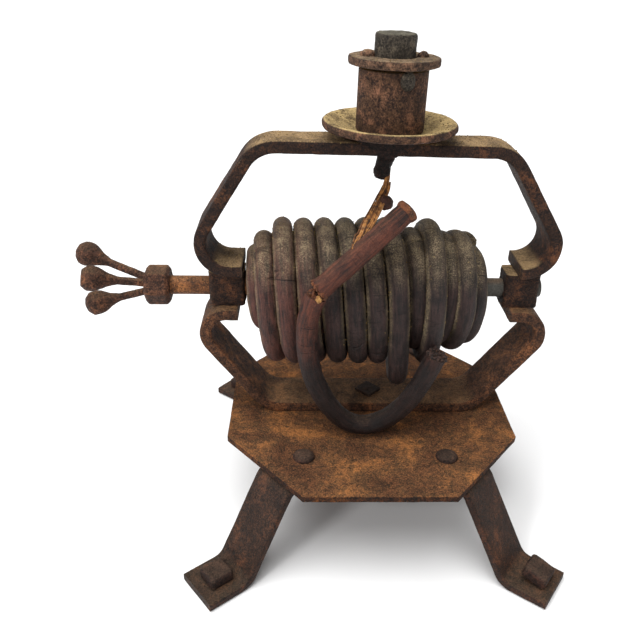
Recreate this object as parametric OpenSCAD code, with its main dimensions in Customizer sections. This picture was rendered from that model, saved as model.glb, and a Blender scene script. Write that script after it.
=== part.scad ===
// Blacksmith-made cord reel stand: a horizontal shaft wound with heavy
// sheathed cord, turned by three ball-headed prongs, held between two bent
// bar-iron yokes on an octagonal plate with four splayed legs. A roller on a
// spindle stands on the upper yoke. All sizes are in millimetres, +Z is up.

/* [Base plate] */
// Width of the octagonal plate from its left side to its right side
plate_w = 151; // [140:1:184]
// Depth of the plate from its front edge to its back edge
plate_d = 153; // [140:1:186]
// Length of the plate's front and back edges
plate_edge_x = 73; // [60:1:88]
// Length of the plate's left and right edges
plate_edge_y = 62; // [50:1:76]
// Thickness of the plate
plate_t = 3; // [2:0.5:5]
// Height of the plate's upper face above the floor
plate_top = 52; // [43:1:64]
// How far the plate's middle sits in front of the yokes' middle
plate_forward = 4; // [0:1:8]

/* [Legs] */
// Width of the legs' flat bar
leg_w = 25; // [20:1:30]
// Thickness of the legs' flat bar
leg_t = 4; // [3:0.5:5]
// Angle of each leg from the left-to-right line, seen from above
leg_turn = 38; // [32:1:46]
// Slope of each leg's steep part below level
leg_slope = 60; // [54:1:68]
// Distance from a leg's bolt to the toe of its foot
leg_reach = 65; // [60:1:78]
// Level length from the bolt to the upper bend
leg_level = 12; // [10:1:15]
// Level length behind the bolt
leg_tail = 13; // [10:1:16]
// Radius of the upper bend, to the middle of the bar
leg_bend_top = 8; // [6:1:10]
// Radius of the lower bend, to the middle of the bar
leg_bend_foot = 8.5; // [7:0.5:10]
// Distance of the leg bolts from the middle, left and right
leg_bolt_x = 36; // [33:1:43]
// Distance of the leg bolts from the middle, front and back
leg_bolt_y = 51.5; // [47:0.5:61]

/* [Fasteners] */
// Diameter of the leg bolts' shanks
leg_bolt_d = 6; // [5:0.5:7]
// Diameter of the leg bolts' round heads
leg_bolt_head_d = 11; // [9:0.5:13]
// Height of the leg bolts' heads
leg_bolt_head_h = 2.6; // [2:0.2:4]
// Width across the flats of the square nuts
nut_w = 11; // [10:0.5:13]
// Thickness of the square nuts
nut_t = 4.5; // [3:0.5:6]
// Diameter of the yoke bolt's shank
yoke_bolt_d = 8; // [6:0.5:9]
// Width across the flats of the yoke bolt's thin square head
yoke_bolt_head_w = 10.5; // [9:0.5:13]
// Height of the yoke bolt's head
yoke_bolt_head_h = 1.6; // [1:0.2:4]
// Diameter of the foot screws' shanks
screw_d = 6; // [5:0.5:6.5]
// Width across the flats of the foot screws' square heads
screw_head_w = 12.5; // [11:0.5:14]
// Height of the foot screws' heads
screw_head_h = 6.5; // [5:0.5:8]
// Distance of each foot screw from the toe of its foot
screw_inset = 11.5; // [9:0.5:13]
// Tilt of the bent screw in the front right foot
screw_tilt = 16; // [0:1:18]
// Gap round each shank in its hole
hole_gap = 0.3; // [0.1:0.1:0.6]

/* [Yokes] */
// Width of the yokes' flat bar, front to back
bar_w = 26; // [21:1:31]
// Thickness of the yokes' flat bar
bar_t = 6; // [5:0.5:7]
// Width of both yokes over the outside of their arms
yoke_span = 180; // [165:1:210]
// Slope of the lower yoke's arms above level
lower_arm_slope = 53; // [48:1:58]
// Slope of the upper yoke's arms above level
upper_arm_slope = 57.5; // [52:0.5:62]
// Radius of the bends beside the plate, to the middle of the bar
lower_bend = 15; // [10:1:18]
// Radius of the bends beside the top bar, to the middle of the bar
upper_bend = 17; // [12:1:20]
// Radius of the bends into the lower yoke's feet, to the middle of the bar
lower_foot_bend = 11.2; // [9:0.2:13]
// Radius of the bends into the upper yoke's feet, to the middle of the bar
upper_foot_bend = 14; // [11:0.5:16]
// Half the gap between the lower yoke's two feet
lower_foot_tip = 70; // [66:1:72]
// Distance of the upper yoke's left foot end from the middle
upper_tip_left = 67; // [66:1:70]
// Distance of the upper yoke's right foot end from the middle
upper_tip_right = 72; // [66:1:73]
// Height of the top bar's upper face above the shaft, at the spindle
top_rise = 76.7; // [68:0.2:90]
// Slope of the top bar, down to the right
top_slope = 0.6; // [0:0.2:3]
// Width of the upper yoke's top, which forging has drawn narrower
top_w = 21; // [19:0.5:26]

/* [Shaft and bearings] */
// Height of the shaft's axis above the plate
shaft_rise = 70.4; // [70:0.2:84]
// Diameter of the shaft
shaft_d = 9.8; // [8:0.2:11.8]
// Radial running gap between the shaft and its bearings
shaft_gap = 0.06; // [0.04:0.01:0.1]
// Length of each bearing block along the shaft
block_l = 18; // [14:0.5:20]
// Depth of each bearing block, front to back
block_w = 14.5; // [13:0.5:18]
// Height of the bearing blocks' metal above the shaft's axis
block_up = 10; // [8:0.2:12]
// Height of the bearing blocks' metal below the shaft's axis
block_down = 8.2; // [8:0.2:10]
// Distance from the middle to the inner end of each bearing block
block_in = 66.5; // [64:0.5:68]
// How far the shaft's right end stands out of its block
shaft_end = 2; // [1:0.5:4]

/* [Turning handle] */
// Distance from the middle to the right face of the hex collar
collar_in = 104.6; // [100:0.2:112]
// Length of the hex collar
collar_l = 13; // [11:0.5:16]
// Width of the hex collar across its flats
collar_w = 18.5; // [17:0.5:20]
// Depth of the shaft's seat in the collar
collar_seat = 7; // [6:0.5:8]
// Diameter of the collar's cross pin
collar_pin_d = 3; // [2:0.5:3.5]
// Diameter of the prongs' rods
prong_d = 3.8; // [3:0.2:4]
// Diameter of the prongs' heads
prong_head_d = 12.6; // [10:0.2:14]
// Length of each prong from the collar to the end of its head
prong_l = 36; // [30:1:44]
// Length of the head and its flared neck
prong_head_l = 18; // [14:1:20]
// Spread of the prongs from the shaft's axis
prong_spread = 20; // [16:1:24]
// Distance of the prongs from the axis at the collar's face
prong_root = 3.9; // [3.9:0.1:4.6]
// Depth of the prongs' roots in the collar
prong_depth = 3.2; // [2:0.2:3.4]
// Turn of the handle about the shaft's axis
prong_turn = 26; // [0:1:60]

/* [Wound cord] */
// Diameter of the cord
cord_d = 10; // [8.5:0.5:10.5]
// Outer diameter of the full winding
coil_d = 75; // [66:1:76]
// Drop of the slack turn below the others
slack_drop = 13; // [6:1:16]

/* [Spindle and roller] */
// Distance of the spindle from the middle, to the right
hub_x = 2.5; // [-4:0.5:8]
// Outer diameter of the dished flange
dish_d = 63.2; // [54:0.2:76]
// Height of the flange's rim above the bar
dish_h = 8.5; // [7:0.5:11]
// Thickness of the flange
dish_t = 3.8; // [3:0.2:4.4]
// Diameter of the flange's foot on the bar
dish_foot_d = 23; // [18:1:25]
// Outer diameter of the roller sleeve
sleeve_d = 31.6; // [28:0.4:32.4]
// Height of the roller sleeve
sleeve_h = 27.2; // [22:0.2:34]
// Radial running gap between the roller and the spindle
sleeve_gap = 0.08; // [0.05:0.01:0.1]
// Gap under the roller
sleeve_under = 0.3; // [0.2:0.1:0.6]
// Gap between the roller and the washer
sleeve_over = 1.5; // [0.6:0.1:2]
// Diameter of the spindle
spindle_d = 18.8; // [15:0.2:20]
// Height of the spindle above the washer
spindle_up = 9.8; // [7:0.2:14]
// Diameter of the spindle's tenon in the bar
tenon_d = 10; // [7:0.5:12]
// Diameter of the tenon's bent tail below the bar
tail_d = 8; // [6:0.5:9]
// Length of the bent tail
tail_l = 14; // [10:0.5:18]
// Tilt of the bent tail to the left, going down
tail_tilt = 12; // [0:1:16]
// Outer diameter of the washer
washer_d = 41.4; // [36:0.2:50]
// Thickness of the washer
washer_t = 3.6; // [2.6:0.2:5]

/* [Hidden] */
$fn = 64;

rust = [0.42, 0.26, 0.16];
dark_iron = [0.27, 0.20, 0.17];
worn_steel = [0.33, 0.32, 0.30];
sheath = [0.22, 0.15, 0.14];
red_sheath = [0.35, 0.18, 0.13];
straw = [0.62, 0.44, 0.24];

shaft_z = plate_top + shaft_rise;
bar_top = shaft_z + top_rise;
big = 400;

// The box's middle lies left of the plate's middle, because the prongs
// reach further out than the feet. stand_x brings the box to the origin.
prong_end_d = 0.66*prong_head_d;
// Each prong was forged by hand. It differs from the handle's turn, spread
// and length by these amounts.
FRONT_PRONG = [12, -0.7, -5.2];
UPPER_PRONG = [114, 2.9, 3.2];
LOWER_PRONG = [-126, -3.5, -3.1];
reach_left = collar_in + collar_l + (prong_l + UPPER_PRONG[2])*cos(prong_spread + UPPER_PRONG[1])
    + prong_end_d/2*sin(prong_spread + UPPER_PRONG[1]);
reach_right = leg_bolt_x + leg_reach*cos(leg_turn) + leg_w/2*sin(leg_turn);
stand_x = (reach_left - reach_right)/2;

leg_drop = plate_top - plate_t - leg_t;
leg_steep = (leg_drop - (leg_bend_top + leg_bend_foot)*(1 - cos(leg_slope)))/sin(leg_slope);
leg_run = (leg_bend_top + leg_bend_foot)*sin(leg_slope) + leg_steep*cos(leg_slope);
leg_flat = leg_reach - leg_level - leg_run;

collar_left = -(collar_in + collar_l);
coil_r = (coil_d - cord_d)/2;
layer = 0.77*cord_d;
turn_pitch = 1.06*cord_d;
winding_left = 1.2 - block_in;

// Each turn of the winding: its place from the winding's left end, counted
// in cord widths, and how many layers it lies below the outermost one.
// The slack turn fills the gap at SLACK_PLACE.
TURNS = [[0.52, 2], [1.13, 1], [2.13, 0], [3.18, 0], [4.23, 0], [5.28, 0], [6.33, 0],
         [8.46, 1], [9.18, 0], [9.98, 1], [10.66, 1], [11.3, 2]];
SLACK_PLACE = 7.48;
slack_x = winding_left + SLACK_PLACE*cord_d;

// The loose cord, from its torn end beside the winding, down round its loop,
// up to the kink and along the broken stub. Points are from the shaft's axis.
LOOSE_ROUTE = [[27.3, -40.8, -17.4], [24, -40, -27.4], [19.8, -38.5, -38.9], [13.9, -36, -50.4],
               [6, -34, -59.4], [-4, -33, -64], [-14.7, -34, -60.4], [-23.3, -36.2, -49.6],
               [-29.7, -39, -35.9], [-33.4, -41.8, -22.7], [-35, -43.8, -10.4], [-34.7, -44.6, 0.9],
               [-32.6, -44.3, 9.2], [-29.4, -43.6, 15.6], [-23.6, -42.6, 22.6], [-16.2, -41, 30.6],
               [-7.4, -38, 39], [0.5, -34.5, 46.2], [7.2, -31, 51.6]];
loose_r = cord_d/2 + 0.05;
FIBRE_ROUTE = [[1.2, -5.8, 55.4], [0.2, -9.6, 52], [-1.8, -14.4, 48.8], [-5.4, -21.6, 44.6],
               [-9.6, -29.4, 40.6], [-11.4, -32, 39.2]];
FIBRE_R = 1.9;

// Moves the stand so that the middle of the whole object's box is at x = 0
module in_frame() translate([stand_x, 0, 0]) children();

// Stations [point, heading] along a bent bar's middle line in the XZ plane.
// Each step is [straight length, turn, bend radius]; turns to the left are plus.
BEND_STEP = 5;
function bar_line(start, heading, steps, i = 0) =
    i == len(steps) ? [[start, heading]] :
    let (turn = steps[i][1],
         from = start + steps[i][0]*[cos(heading), sin(heading)],
         arm = (turn < 0 ? -1 : 1)*steps[i][2],
         centre = from + arm*[-sin(heading), cos(heading)],
         n = ceil(abs(turn)/BEND_STEP),
         bend = [for (k = [0:1:n - 1]) let (h = heading + turn*k/n)
                 [centre + arm*[sin(h), -cos(h)], h]],
         next = centre + arm*[sin(heading + turn), -cos(heading + turn)])
    concat([[start, heading]], bend, bar_line(next, heading + turn, steps, i + 1));

// A bar of width w and thickness t along the stations, standing in the XZ plane
module bent_bar(line, w, t) {
    last = len(line) - 1;
    rotate([90, 0, 0]) linear_extrude(w, center = true) polygon(concat(
        [for (s = line) s[0] + t/2*[-sin(s[1]), cos(s[1])]],
        [for (i = [last:-1:0]) let (s = line[i]) s[0] - t/2*[-sin(s[1]), cos(s[1])]]));
}

// Half of a yoke: from [x0, z0] on the top bar's middle line out to the arm,
// down to the foot and back in to the foot's tip. slope is the bar's own.
function half_yoke(x0, z0, slope, foot_z, arm_slope, bend, foot_bend, tip) =
    let (outer = yoke_span/2 - bar_t/2 - foot_bend*(1 - sin(arm_slope)),
         drop = z0 - foot_z - bend*(cos(slope) - cos(arm_slope)) - foot_bend*(1 + cos(arm_slope)),
         across = outer - x0 - bend*(sin(arm_slope) + sin(slope)),
         arm = (drop + across*tan(slope))/(sin(arm_slope) + cos(arm_slope)*tan(slope)),
         bar = (across - arm*cos(arm_slope))/cos(slope),
         foot = max(1, outer - foot_bend*sin(arm_slope) - tip))
    bar_line([x0, z0], slope, [[bar, -(arm_slope + slope), bend],
                               [arm, -(180 - arm_slope), foot_bend],
                               [foot, 0, 0]]);

// Joins a mirrored half on the left to a half on the right
function whole_yoke(left, right) =
    concat([for (i = [len(left) - 1:-1:1]) [[-left[i][0][0], left[i][0][1]], -left[i][1]]],
           [for (i = [1:len(right) - 1]) right[i]]);

module octagon(w, d, edge_x, edge_y)
    polygon([[-edge_x/2, -d/2], [edge_x/2, -d/2], [w/2, -edge_y/2], [w/2, edge_y/2],
             [edge_x/2, d/2], [-edge_x/2, d/2], [-w/2, edge_y/2], [-w/2, -edge_y/2]]);

module at_leg_bolts()
    for (sx = [-1, 1], sy = [-1, 1]) translate([sx*leg_bolt_x, sy*leg_bolt_y, 0]) children();

module base_plate() color(rust) in_frame() difference() {
    translate([0, -plate_forward, plate_top - plate_t]) linear_extrude(plate_t)
        octagon(plate_w, plate_d, plate_edge_x, plate_edge_y);
    at_leg_bolts() cylinder(d = leg_bolt_d + 2*hole_gap, h = big);
    cylinder(d = yoke_bolt_d + 2*hole_gap, h = big);
}

// Places a leg's own frame: its bolt at the origin, its foot along +X
module at_leg(sx, sy)
    translate([sx*leg_bolt_x, sy*leg_bolt_y, 0]) rotate([0, 0, atan2(sy*sin(leg_turn), sx*cos(leg_turn))])
        children();

module leg(sx, sy) color(dark_iron) in_frame() at_leg(sx, sy) difference() {
    bent_bar(bar_line([-leg_tail, plate_top - plate_t - leg_t/2], 0,
                      [[leg_tail + leg_level, -leg_slope, leg_bend_top],
                       [leg_steep, leg_slope, leg_bend_foot],
                       [leg_flat, 0, 0]]), leg_w, leg_t);
    cylinder(d = leg_bolt_d + 2*hole_gap, h = big);
    translate([leg_reach - screw_inset, 0, -1]) cylinder(d = screw_d + 6*hole_gap, h = leg_t + 2);
}

module leg_bolts() color(dark_iron) in_frame() at_leg_bolts() {
    translate([0, 0, plate_top])
        cylinder(d1 = leg_bolt_head_d, d2 = 0.7*leg_bolt_head_d, h = leg_bolt_head_h);
    translate([0, 0, plate_top - plate_t - leg_t - nut_t - 1])
        cylinder(d = leg_bolt_d, h = plate_t + leg_t + nut_t + 1);
}

module square_nut(bolt_d) difference() {
    translate([-nut_w/2, -nut_w/2, 0]) cube([nut_w, nut_w, nut_t]);
    translate([0, 0, -1]) cylinder(d = bolt_d, h = nut_t + 2);
}

module leg_nuts() color(dark_iron) in_frame() at_leg_bolts()
    translate([0, 0, plate_top - plate_t - leg_t - nut_t]) rotate([0, 0, 20]) square_nut(leg_bolt_d);

// A square-headed screw with its head's underside at z = 0 and its shank down to depth
module square_screw(depth) {
    translate([-screw_head_w/2, -screw_head_w/2, 0]) cube([screw_head_w, screw_head_w, screw_head_h]);
    translate([0, 0, -depth]) cylinder(d = screw_d, h = depth);
}

// The front right screw is bent over: it leans on one edge of its head
module foot_screws() color(dark_iron) in_frame() {
    lift = (leg_t/2 + screw_head_w/2*sin(screw_tilt))/cos(screw_tilt);
    for (sx = [-1, 1], sy = [-1, 1]) at_leg(sx, sy) translate([leg_reach - screw_inset, 0, 0])
        if (sx > 0 && sy < 0)
            intersection() {
                translate([0, 0, leg_t/2]) rotate([0, screw_tilt, 0])
                    translate([0, 0, lift]) square_screw(lift + 4);
                translate([-20, -20, 0]) cube([40, 40, 40]);
            }
        else translate([0, 0, leg_t]) square_screw(leg_t);
}

module lower_yoke() color(dark_iron) in_frame() difference() {
    half = half_yoke(0, -(plate_top + bar_t/2), 0, -(shaft_z - block_down - bar_t/2),
                     lower_arm_slope, lower_bend, lower_foot_bend, lower_foot_tip);
    mirror([0, 0, 1]) bent_bar(whole_yoke(half, half), bar_w, bar_t);
    cylinder(d = yoke_bolt_d + 2*hole_gap, h = shaft_z - 20);
}

module yoke_bolt() color(dark_iron) in_frame() {
    translate([0, 0, plate_top + bar_t]) rotate([0, 0, 45])
        translate([-yoke_bolt_head_w/2, -yoke_bolt_head_w/2, 0])
            cube([yoke_bolt_head_w, yoke_bolt_head_w, yoke_bolt_head_h]);
    translate([0, 0, plate_top - plate_t - nut_t - 1])
        cylinder(d = yoke_bolt_d, h = bar_t + plate_t + nut_t + 1);
}

module yoke_nut() color(dark_iron) in_frame()
    translate([0, 0, plate_top - plate_t - nut_t]) square_nut(yoke_bolt_d);

module bearing(side) color(dark_iron) in_frame() difference() {
    translate([side > 0 ? block_in : -block_in - block_l, -block_w/2, shaft_z - block_down])
        cube([block_l, block_w, block_up + block_down]);
    translate([-big/2, 0, shaft_z]) rotate([0, 90, 0]) cylinder(d = shaft_d + 2*shaft_gap, h = big);
}

// Places the spindle's own frame: origin on the top bar, +Z up the spindle
module at_hub() translate([hub_x, 0, bar_top]) rotate([0, top_slope, 0]) children();

module upper_yoke() color(dark_iron) in_frame() difference() {
    hub_mid = [hub_x - bar_t/2*sin(top_slope), bar_top - bar_t/2*cos(top_slope)];
    foot_z = shaft_z + block_up + bar_t/2;
    right = half_yoke(hub_mid[0], hub_mid[1], -top_slope, foot_z, upper_arm_slope,
                      upper_bend, upper_foot_bend, upper_tip_right);
    left = half_yoke(-hub_mid[0], hub_mid[1], top_slope, foot_z, upper_arm_slope,
                     upper_bend, upper_foot_bend, upper_tip_left);
    intersection() {
        bent_bar(whole_yoke(left, right), bar_w, bar_t);
        rotate([90, 0, 90]) linear_extrude(2*yoke_span, center = true) polygon([
            [-bar_w, foot_z - bar_w], [bar_w, foot_z - bar_w], [bar_w/2 + 0.5, bar_top - 38],
            [top_w/2, bar_top - 10], [top_w/2, bar_top + bar_t], [-top_w/2, bar_top + bar_t],
            [-top_w/2, bar_top - 10], [-bar_w/2 - 0.5, bar_top - 38]]);
    }
    at_hub() translate([0, 0, -bar_t - 2]) cylinder(d = tenon_d, h = bar_t + 4);
}

module dish_flange() color(dark_iron) in_frame() at_hub() rotate_extrude()
    polygon([[tenon_d/2, 0], [dish_foot_d/2, 0], [dish_d/2 - 1, dish_h - dish_t],
             [dish_d/2, dish_h - dish_t + 1], [dish_d/2, dish_h - 1], [dish_d/2 - 1, dish_h],
             [dish_d/2 - 2.4, dish_h], [sleeve_d/2 + 2.5, dish_t], [tenon_d/2, dish_t]]);

washer_z = dish_t + sleeve_under + sleeve_h + sleeve_over;

module spindle() color(worn_steel) in_frame() at_hub() {
    translate([0, 0, dish_t]) cylinder(d = spindle_d, h = washer_z - dish_t + washer_t + spindle_up);
    translate([0, 0, -bar_t]) cylinder(d = tenon_d, h = bar_t + dish_t);
    intersection() {
        translate([0, 0, -bar_t]) rotate([0, tail_tilt, 0]) translate([0, 0, -tail_l])
            cylinder(d = tail_d, h = tail_l + 4);
        translate([-20, -20, -bar_t - 40]) cube([40, 40, 40]);
    }
}

module spindle_washer() color(dark_iron) in_frame() at_hub() translate([0, 0, washer_z])
    difference() {
        cylinder(d = washer_d, h = washer_t);
        translate([0, 0, -1]) cylinder(d = spindle_d, h = washer_t + 2);
    }

// Lumps of weld that hold the washer to the spindle, one on each side
module washer_tacks() color(dark_iron) in_frame() at_hub() difference() {
    union() {
        translate([-spindle_d/2 - 1.4, 0, washer_z + washer_t]) sphere(r = 4.6);
        translate([spindle_d/2 + 0.4, 0, washer_z + washer_t]) sphere(r = 3.6);
    }
    cylinder(d = spindle_d, h = big);
    translate([0, 0, washer_z + washer_t - 20]) cylinder(d = 80, h = 20);
}

module roller_sleeve() color(rust) in_frame() at_hub() translate([0, 0, dish_t + sleeve_under])
    difference() {
        cylinder(d = sleeve_d, h = sleeve_h);
        translate([0, 0, -1]) cylinder(d = spindle_d + 2*sleeve_gap, h = sleeve_h + 2);
    }

// Places the reel's own frame: origin on the shaft's axis, +Z along it to the right
module at_shaft() translate([0, 0, shaft_z]) rotate([0, 90, 0]) children();

module shaft() color(worn_steel) in_frame() difference() {
    left = -(collar_in + collar_seat);
    right = block_in + block_l + shaft_end;
    at_shaft() translate([0, 0, left]) cylinder(d = shaft_d, h = right - left);
    pin_hole();
}

// Places a prong's own frame: root on the collar's left face, +Z out along the prong
module at_prong(own) translate([collar_left, 0, shaft_z]) rotate([180 - prong_turn - own[0], 0, 0])
    translate([0, prong_root, 0]) rotate([0, 0, 180 - prong_spread - own[1]]) rotate([0, 90, 0]) children();

module prong_solid(own) let (l = prong_l + own[2]) rotate_extrude()
    polygon([[0, -prong_depth], [prong_d/2, -prong_depth],
             [prong_d/2, l - prong_head_l],
             [0.28*prong_head_d, l - 0.72*prong_head_l],
             [0.46*prong_head_d, l - 0.44*prong_head_l],
             [0.5*prong_head_d, l - 0.34*prong_head_l],
             [0.5*prong_head_d, l - 0.16*prong_head_l],
             [prong_end_d/2, l], [0, l]]);

module prong(own) color(dark_iron) in_frame() at_prong(own) prong_solid(own);

module pin_hole()
    translate([-(collar_in + collar_seat/2), 0, shaft_z]) rotate([prong_turn + 60, 0, 0])
        translate([0, 0, -collar_w/2 + 0.5]) cylinder(d = collar_pin_d, h = collar_w - 1);

module collar_pin() color(worn_steel) in_frame() pin_hole();

// The hex collar's corners are rounded off, and a corner faces the front prong
module hex_collar() color(rust) in_frame() difference() {
    corner = collar_w/cos(30)/2;
    intersection() {
        translate([collar_left, 0, shaft_z]) rotate([-prong_turn, 0, 0]) rotate([0, 90, 0])
            rotate([0, 0, 30]) cylinder(r = corner, h = collar_l, $fn = 6);
        translate([collar_left, 0, shaft_z]) rotate([0, 90, 0]) rotate_extrude()
            polygon([[0, 0], [corner - 2.4, 0], [corner - 0.5, 2], [corner - 0.5, collar_l - 2],
                     [corner - 2.4, collar_l], [0, collar_l]]);
    }
    at_shaft() translate([0, 0, -(collar_in + collar_seat)]) cylinder(d = shaft_d, h = collar_seat + 1);
    for (own = [FRONT_PRONG, UPPER_PRONG, LOWER_PRONG]) at_prong(own) prong_solid(own);
    pin_hole();
}

module cord_winding() color(sheath) in_frame() at_shaft() rotate_extrude() {
    for (turn = TURNS) {
        r = coil_r - layer*turn[1];
        translate([r, winding_left + turn[0]*cord_d]) circle(d = turn_pitch);
        translate([shaft_d/2, winding_left + turn[0]*cord_d - turn_pitch/2]) square([r - shaft_d/2, turn_pitch]);
    }
    translate([shaft_d/2, winding_left + TURNS[1][0]*cord_d])
        square([coil_r - cord_d/2 - shaft_d/2 - 0.4, (TURNS[10][0] - TURNS[1][0])*cord_d]);
}

// The slack turn: round over the top, straight down both sides, round below
module slack_turn() color(sheath) in_frame() translate([slack_x, 0, shaft_z]) {
    r = coil_r + 0.3;
    rotate([90, 0, 90]) rotate_extrude(angle = 180) translate([r, 0]) circle(d = cord_d - 0.6);
    translate([0, 0, -slack_drop]) rotate([90, 0, 90]) rotate([0, 0, 180])
        rotate_extrude(angle = 180) translate([r, 0]) circle(d = cord_d - 0.6);
    for (side = [-1, 1]) translate([0, side*r, -slack_drop]) cylinder(d = cord_d - 0.6, h = slack_drop);
}

function unit(v) = v/norm(v);
function tangent(p, i) = unit(p[min(i + 1, len(p) - 1)] - p[max(i - 1, 0)]);

// A tube of radius r swept through the points p, with flat ends. The rings
// are set by the direction ref, which is never along the tube.
module swept_tube(p, r, sides, ref) {
    rings = [for (i = [0:len(p) - 1])
        let (t = tangent(p, i), a = unit(ref - (ref*t)*t), b = cross(t, a))
            [for (k = [0:sides - 1]) p[i] + r*cos(360*k/sides)*a + r*sin(360*k/sides)*b]];
    points = [for (ring = rings) each ring];
    last = len(points) - sides;
    walls = [for (i = [0:len(p) - 2], k = [0:sides - 1])
        let (a = i*sides + k, b = i*sides + (k + 1) % sides) [a, a + sides, b + sides, b]];
    ends = [[for (k = [0:sides - 1]) k], [for (k = [sides - 1:-1:0]) last + k]];
    polyhedron(points = points, faces = concat(walls, ends), convexity = 8);
}

module loose_cord() color(red_sheath) in_frame() translate([0, 0, shaft_z])
    swept_tube(LOOSE_ROUTE, loose_r, 12, [0, 1, 0]);

module fibre_lashing() color(straw) in_frame() translate([0, 0, shaft_z])
    swept_tube(FIBRE_ROUTE, FIBRE_R, 8, [1, 0, 0]);

base_plate();
leg(-1, -1);  // leg_front_left
leg(1, -1);  // leg_front_right
leg(-1, 1);  // leg_rear_left
leg(1, 1);  // leg_rear_right
leg_bolts();
leg_nuts();
foot_screws();
lower_yoke();
yoke_bolt();
yoke_nut();
bearing(-1);  // bearing_left
bearing(1);  // bearing_right
upper_yoke();
dish_flange();
spindle();
spindle_washer();
washer_tacks();
roller_sleeve();
shaft();
hex_collar();
collar_pin();
prong(FRONT_PRONG);  // prong_front
prong(UPPER_PRONG);  // prong_upper
prong(LOWER_PRONG);  // prong_lower
cord_winding();
slack_turn();
loose_cord();
fibre_lashing();
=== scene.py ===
import bpy
import math
import numpy as np
from mathutils import Matrix, Vector, noise


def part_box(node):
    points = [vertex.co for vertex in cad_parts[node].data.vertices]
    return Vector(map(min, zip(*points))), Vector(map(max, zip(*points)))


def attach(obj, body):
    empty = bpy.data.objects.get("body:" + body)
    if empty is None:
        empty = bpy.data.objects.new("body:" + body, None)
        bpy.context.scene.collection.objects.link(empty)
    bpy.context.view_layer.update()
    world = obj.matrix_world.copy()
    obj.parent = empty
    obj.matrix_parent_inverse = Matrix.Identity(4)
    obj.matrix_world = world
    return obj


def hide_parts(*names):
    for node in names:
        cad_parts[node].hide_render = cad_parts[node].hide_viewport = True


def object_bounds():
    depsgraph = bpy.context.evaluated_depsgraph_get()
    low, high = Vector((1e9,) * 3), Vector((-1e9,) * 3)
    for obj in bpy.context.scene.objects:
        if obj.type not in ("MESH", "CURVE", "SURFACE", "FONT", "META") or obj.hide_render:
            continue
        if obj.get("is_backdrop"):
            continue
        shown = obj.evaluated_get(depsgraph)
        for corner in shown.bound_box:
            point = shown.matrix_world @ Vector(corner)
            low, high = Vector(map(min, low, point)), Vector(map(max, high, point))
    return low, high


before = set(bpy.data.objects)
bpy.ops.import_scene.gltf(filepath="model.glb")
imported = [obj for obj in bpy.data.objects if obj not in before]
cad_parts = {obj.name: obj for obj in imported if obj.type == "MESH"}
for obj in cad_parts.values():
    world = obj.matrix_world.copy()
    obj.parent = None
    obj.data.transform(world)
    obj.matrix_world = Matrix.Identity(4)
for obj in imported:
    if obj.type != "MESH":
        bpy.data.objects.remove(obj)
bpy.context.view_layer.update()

# ---------------------------------------------------------------- camera
# A level stand seen from the front and a little above, by a camera that is
# rolled slightly. Every place below is in millimetres from the plate's
# middle, the shaft's axis line and the floor, and at() puts it in the frame.
MM = 0.001
plate_low, plate_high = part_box("base_plate")
PLATE_X = (plate_low.x + plate_high.x)/2


def at(x, y, z):
    return Vector((PLATE_X + x*MM, y*MM, z*MM))


def aim_camera(place, pitch, yaw, roll, lens):
    pitch, yaw, roll = map(math.radians, (pitch, yaw, roll))
    ahead = Vector((math.sin(yaw)*math.cos(pitch), math.cos(yaw)*math.cos(pitch), -math.sin(pitch)))
    right = Vector((math.cos(yaw), -math.sin(yaw), 0))
    up = right.cross(ahead)
    right, up = right*math.cos(roll) + up*math.sin(roll), up*math.cos(roll) - right*math.sin(roll)
    data = bpy.data.cameras.new("camera")
    data.lens, data.sensor_width, data.clip_start, data.clip_end = lens, 36, 0.01, 20
    camera = bpy.data.objects.new("camera", data)
    camera.matrix_world = Matrix.Translation(place) @ Matrix((right, up, -ahead)).transposed().to_4x4()
    bpy.context.scene.collection.objects.link(camera)
    bpy.context.scene.camera = camera


aim_camera(at(-38.7, -327.9, 278.5), 28.24, 1.93, 1.31, 39.375)

# ---------------------------------------------------------------- wound cord
# Some three metres of heavy cord in a dull dark sheath, wound by hand in
# layers on the shaft. Its turns lean to the right going down the front, the
# ends step down to the shaft, and one turn near the middle has gone slack.
CORD_R = 5
SHAFT_Z = 122.4
# Each turn: its radius at the top, front and bottom, its place at the top,
# front and bottom, and how much thicker it is than the plain cord
TURNS = [(10, 10, 10, -60.3, -60.2, -60, 1), (17.2, 17.6, 18.4, -60.6, -59.6, -55.6, 1),
         (25, 29.2, 33.4, -57.2, -54.2, -48.6, 1.04), (32.4, 32.9, 33.4, -47.6, -44.6, -38, 1.14),
         (32.4, 32.8, 33.1, -37, -34, -27.4, 1.08), (32.2, 32.6, 33.1, -26.4, -22.6, -16.6, 1.06),
         (32.6, 32.8, 33.2, -15.9, -11.6, -6.2, 1.05), (32.6, 32.9, 33.5, -5.4, -1.2, 3.8, 1.03),
         (33, 33.1, 33.2, 5.4, 9.8, 14.6, 1.02), (26, 26.3, 26.5, 18.6, 19.6, 21.8, 1),
         (32.9, 33.3, 32.6, 27, 26.4, 27, 1.2), (24, 24.2, 24.2, 35.4, 34.6, 31.8, 1),
         (26.4, 27, 26.6, 42.6, 42.4, 38.4, 1.12), (17, 21.2, 24.6, 49, 49.2, 46.2, 1),
         (10, 10, 10, 48, 48, 48, 1)]
SLACK_TURN = 8
SLACK_DROP = 13
CRUMBS_FROM_Z, CRUMBS_FROM_RADIUS = 105, 24


def add(tree, kind, inputs=None, **settings):
    """Adds a node with its settings. An input is a value or the socket that feeds it."""
    node = tree.nodes.new(kind)
    for key, value in settings.items():
        setattr(node, key, value)
    for key, value in (inputs or {}).items():
        if isinstance(value, bpy.types.NodeSocket):
            tree.links.new(value, node.inputs[key])
        else:
            node.inputs[key].default_value = value
    return node


def math_of(tree, operation, a, b):
    return add(tree, "ShaderNodeMath", {0: a, 1: b}, operation=operation).outputs[0]


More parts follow.
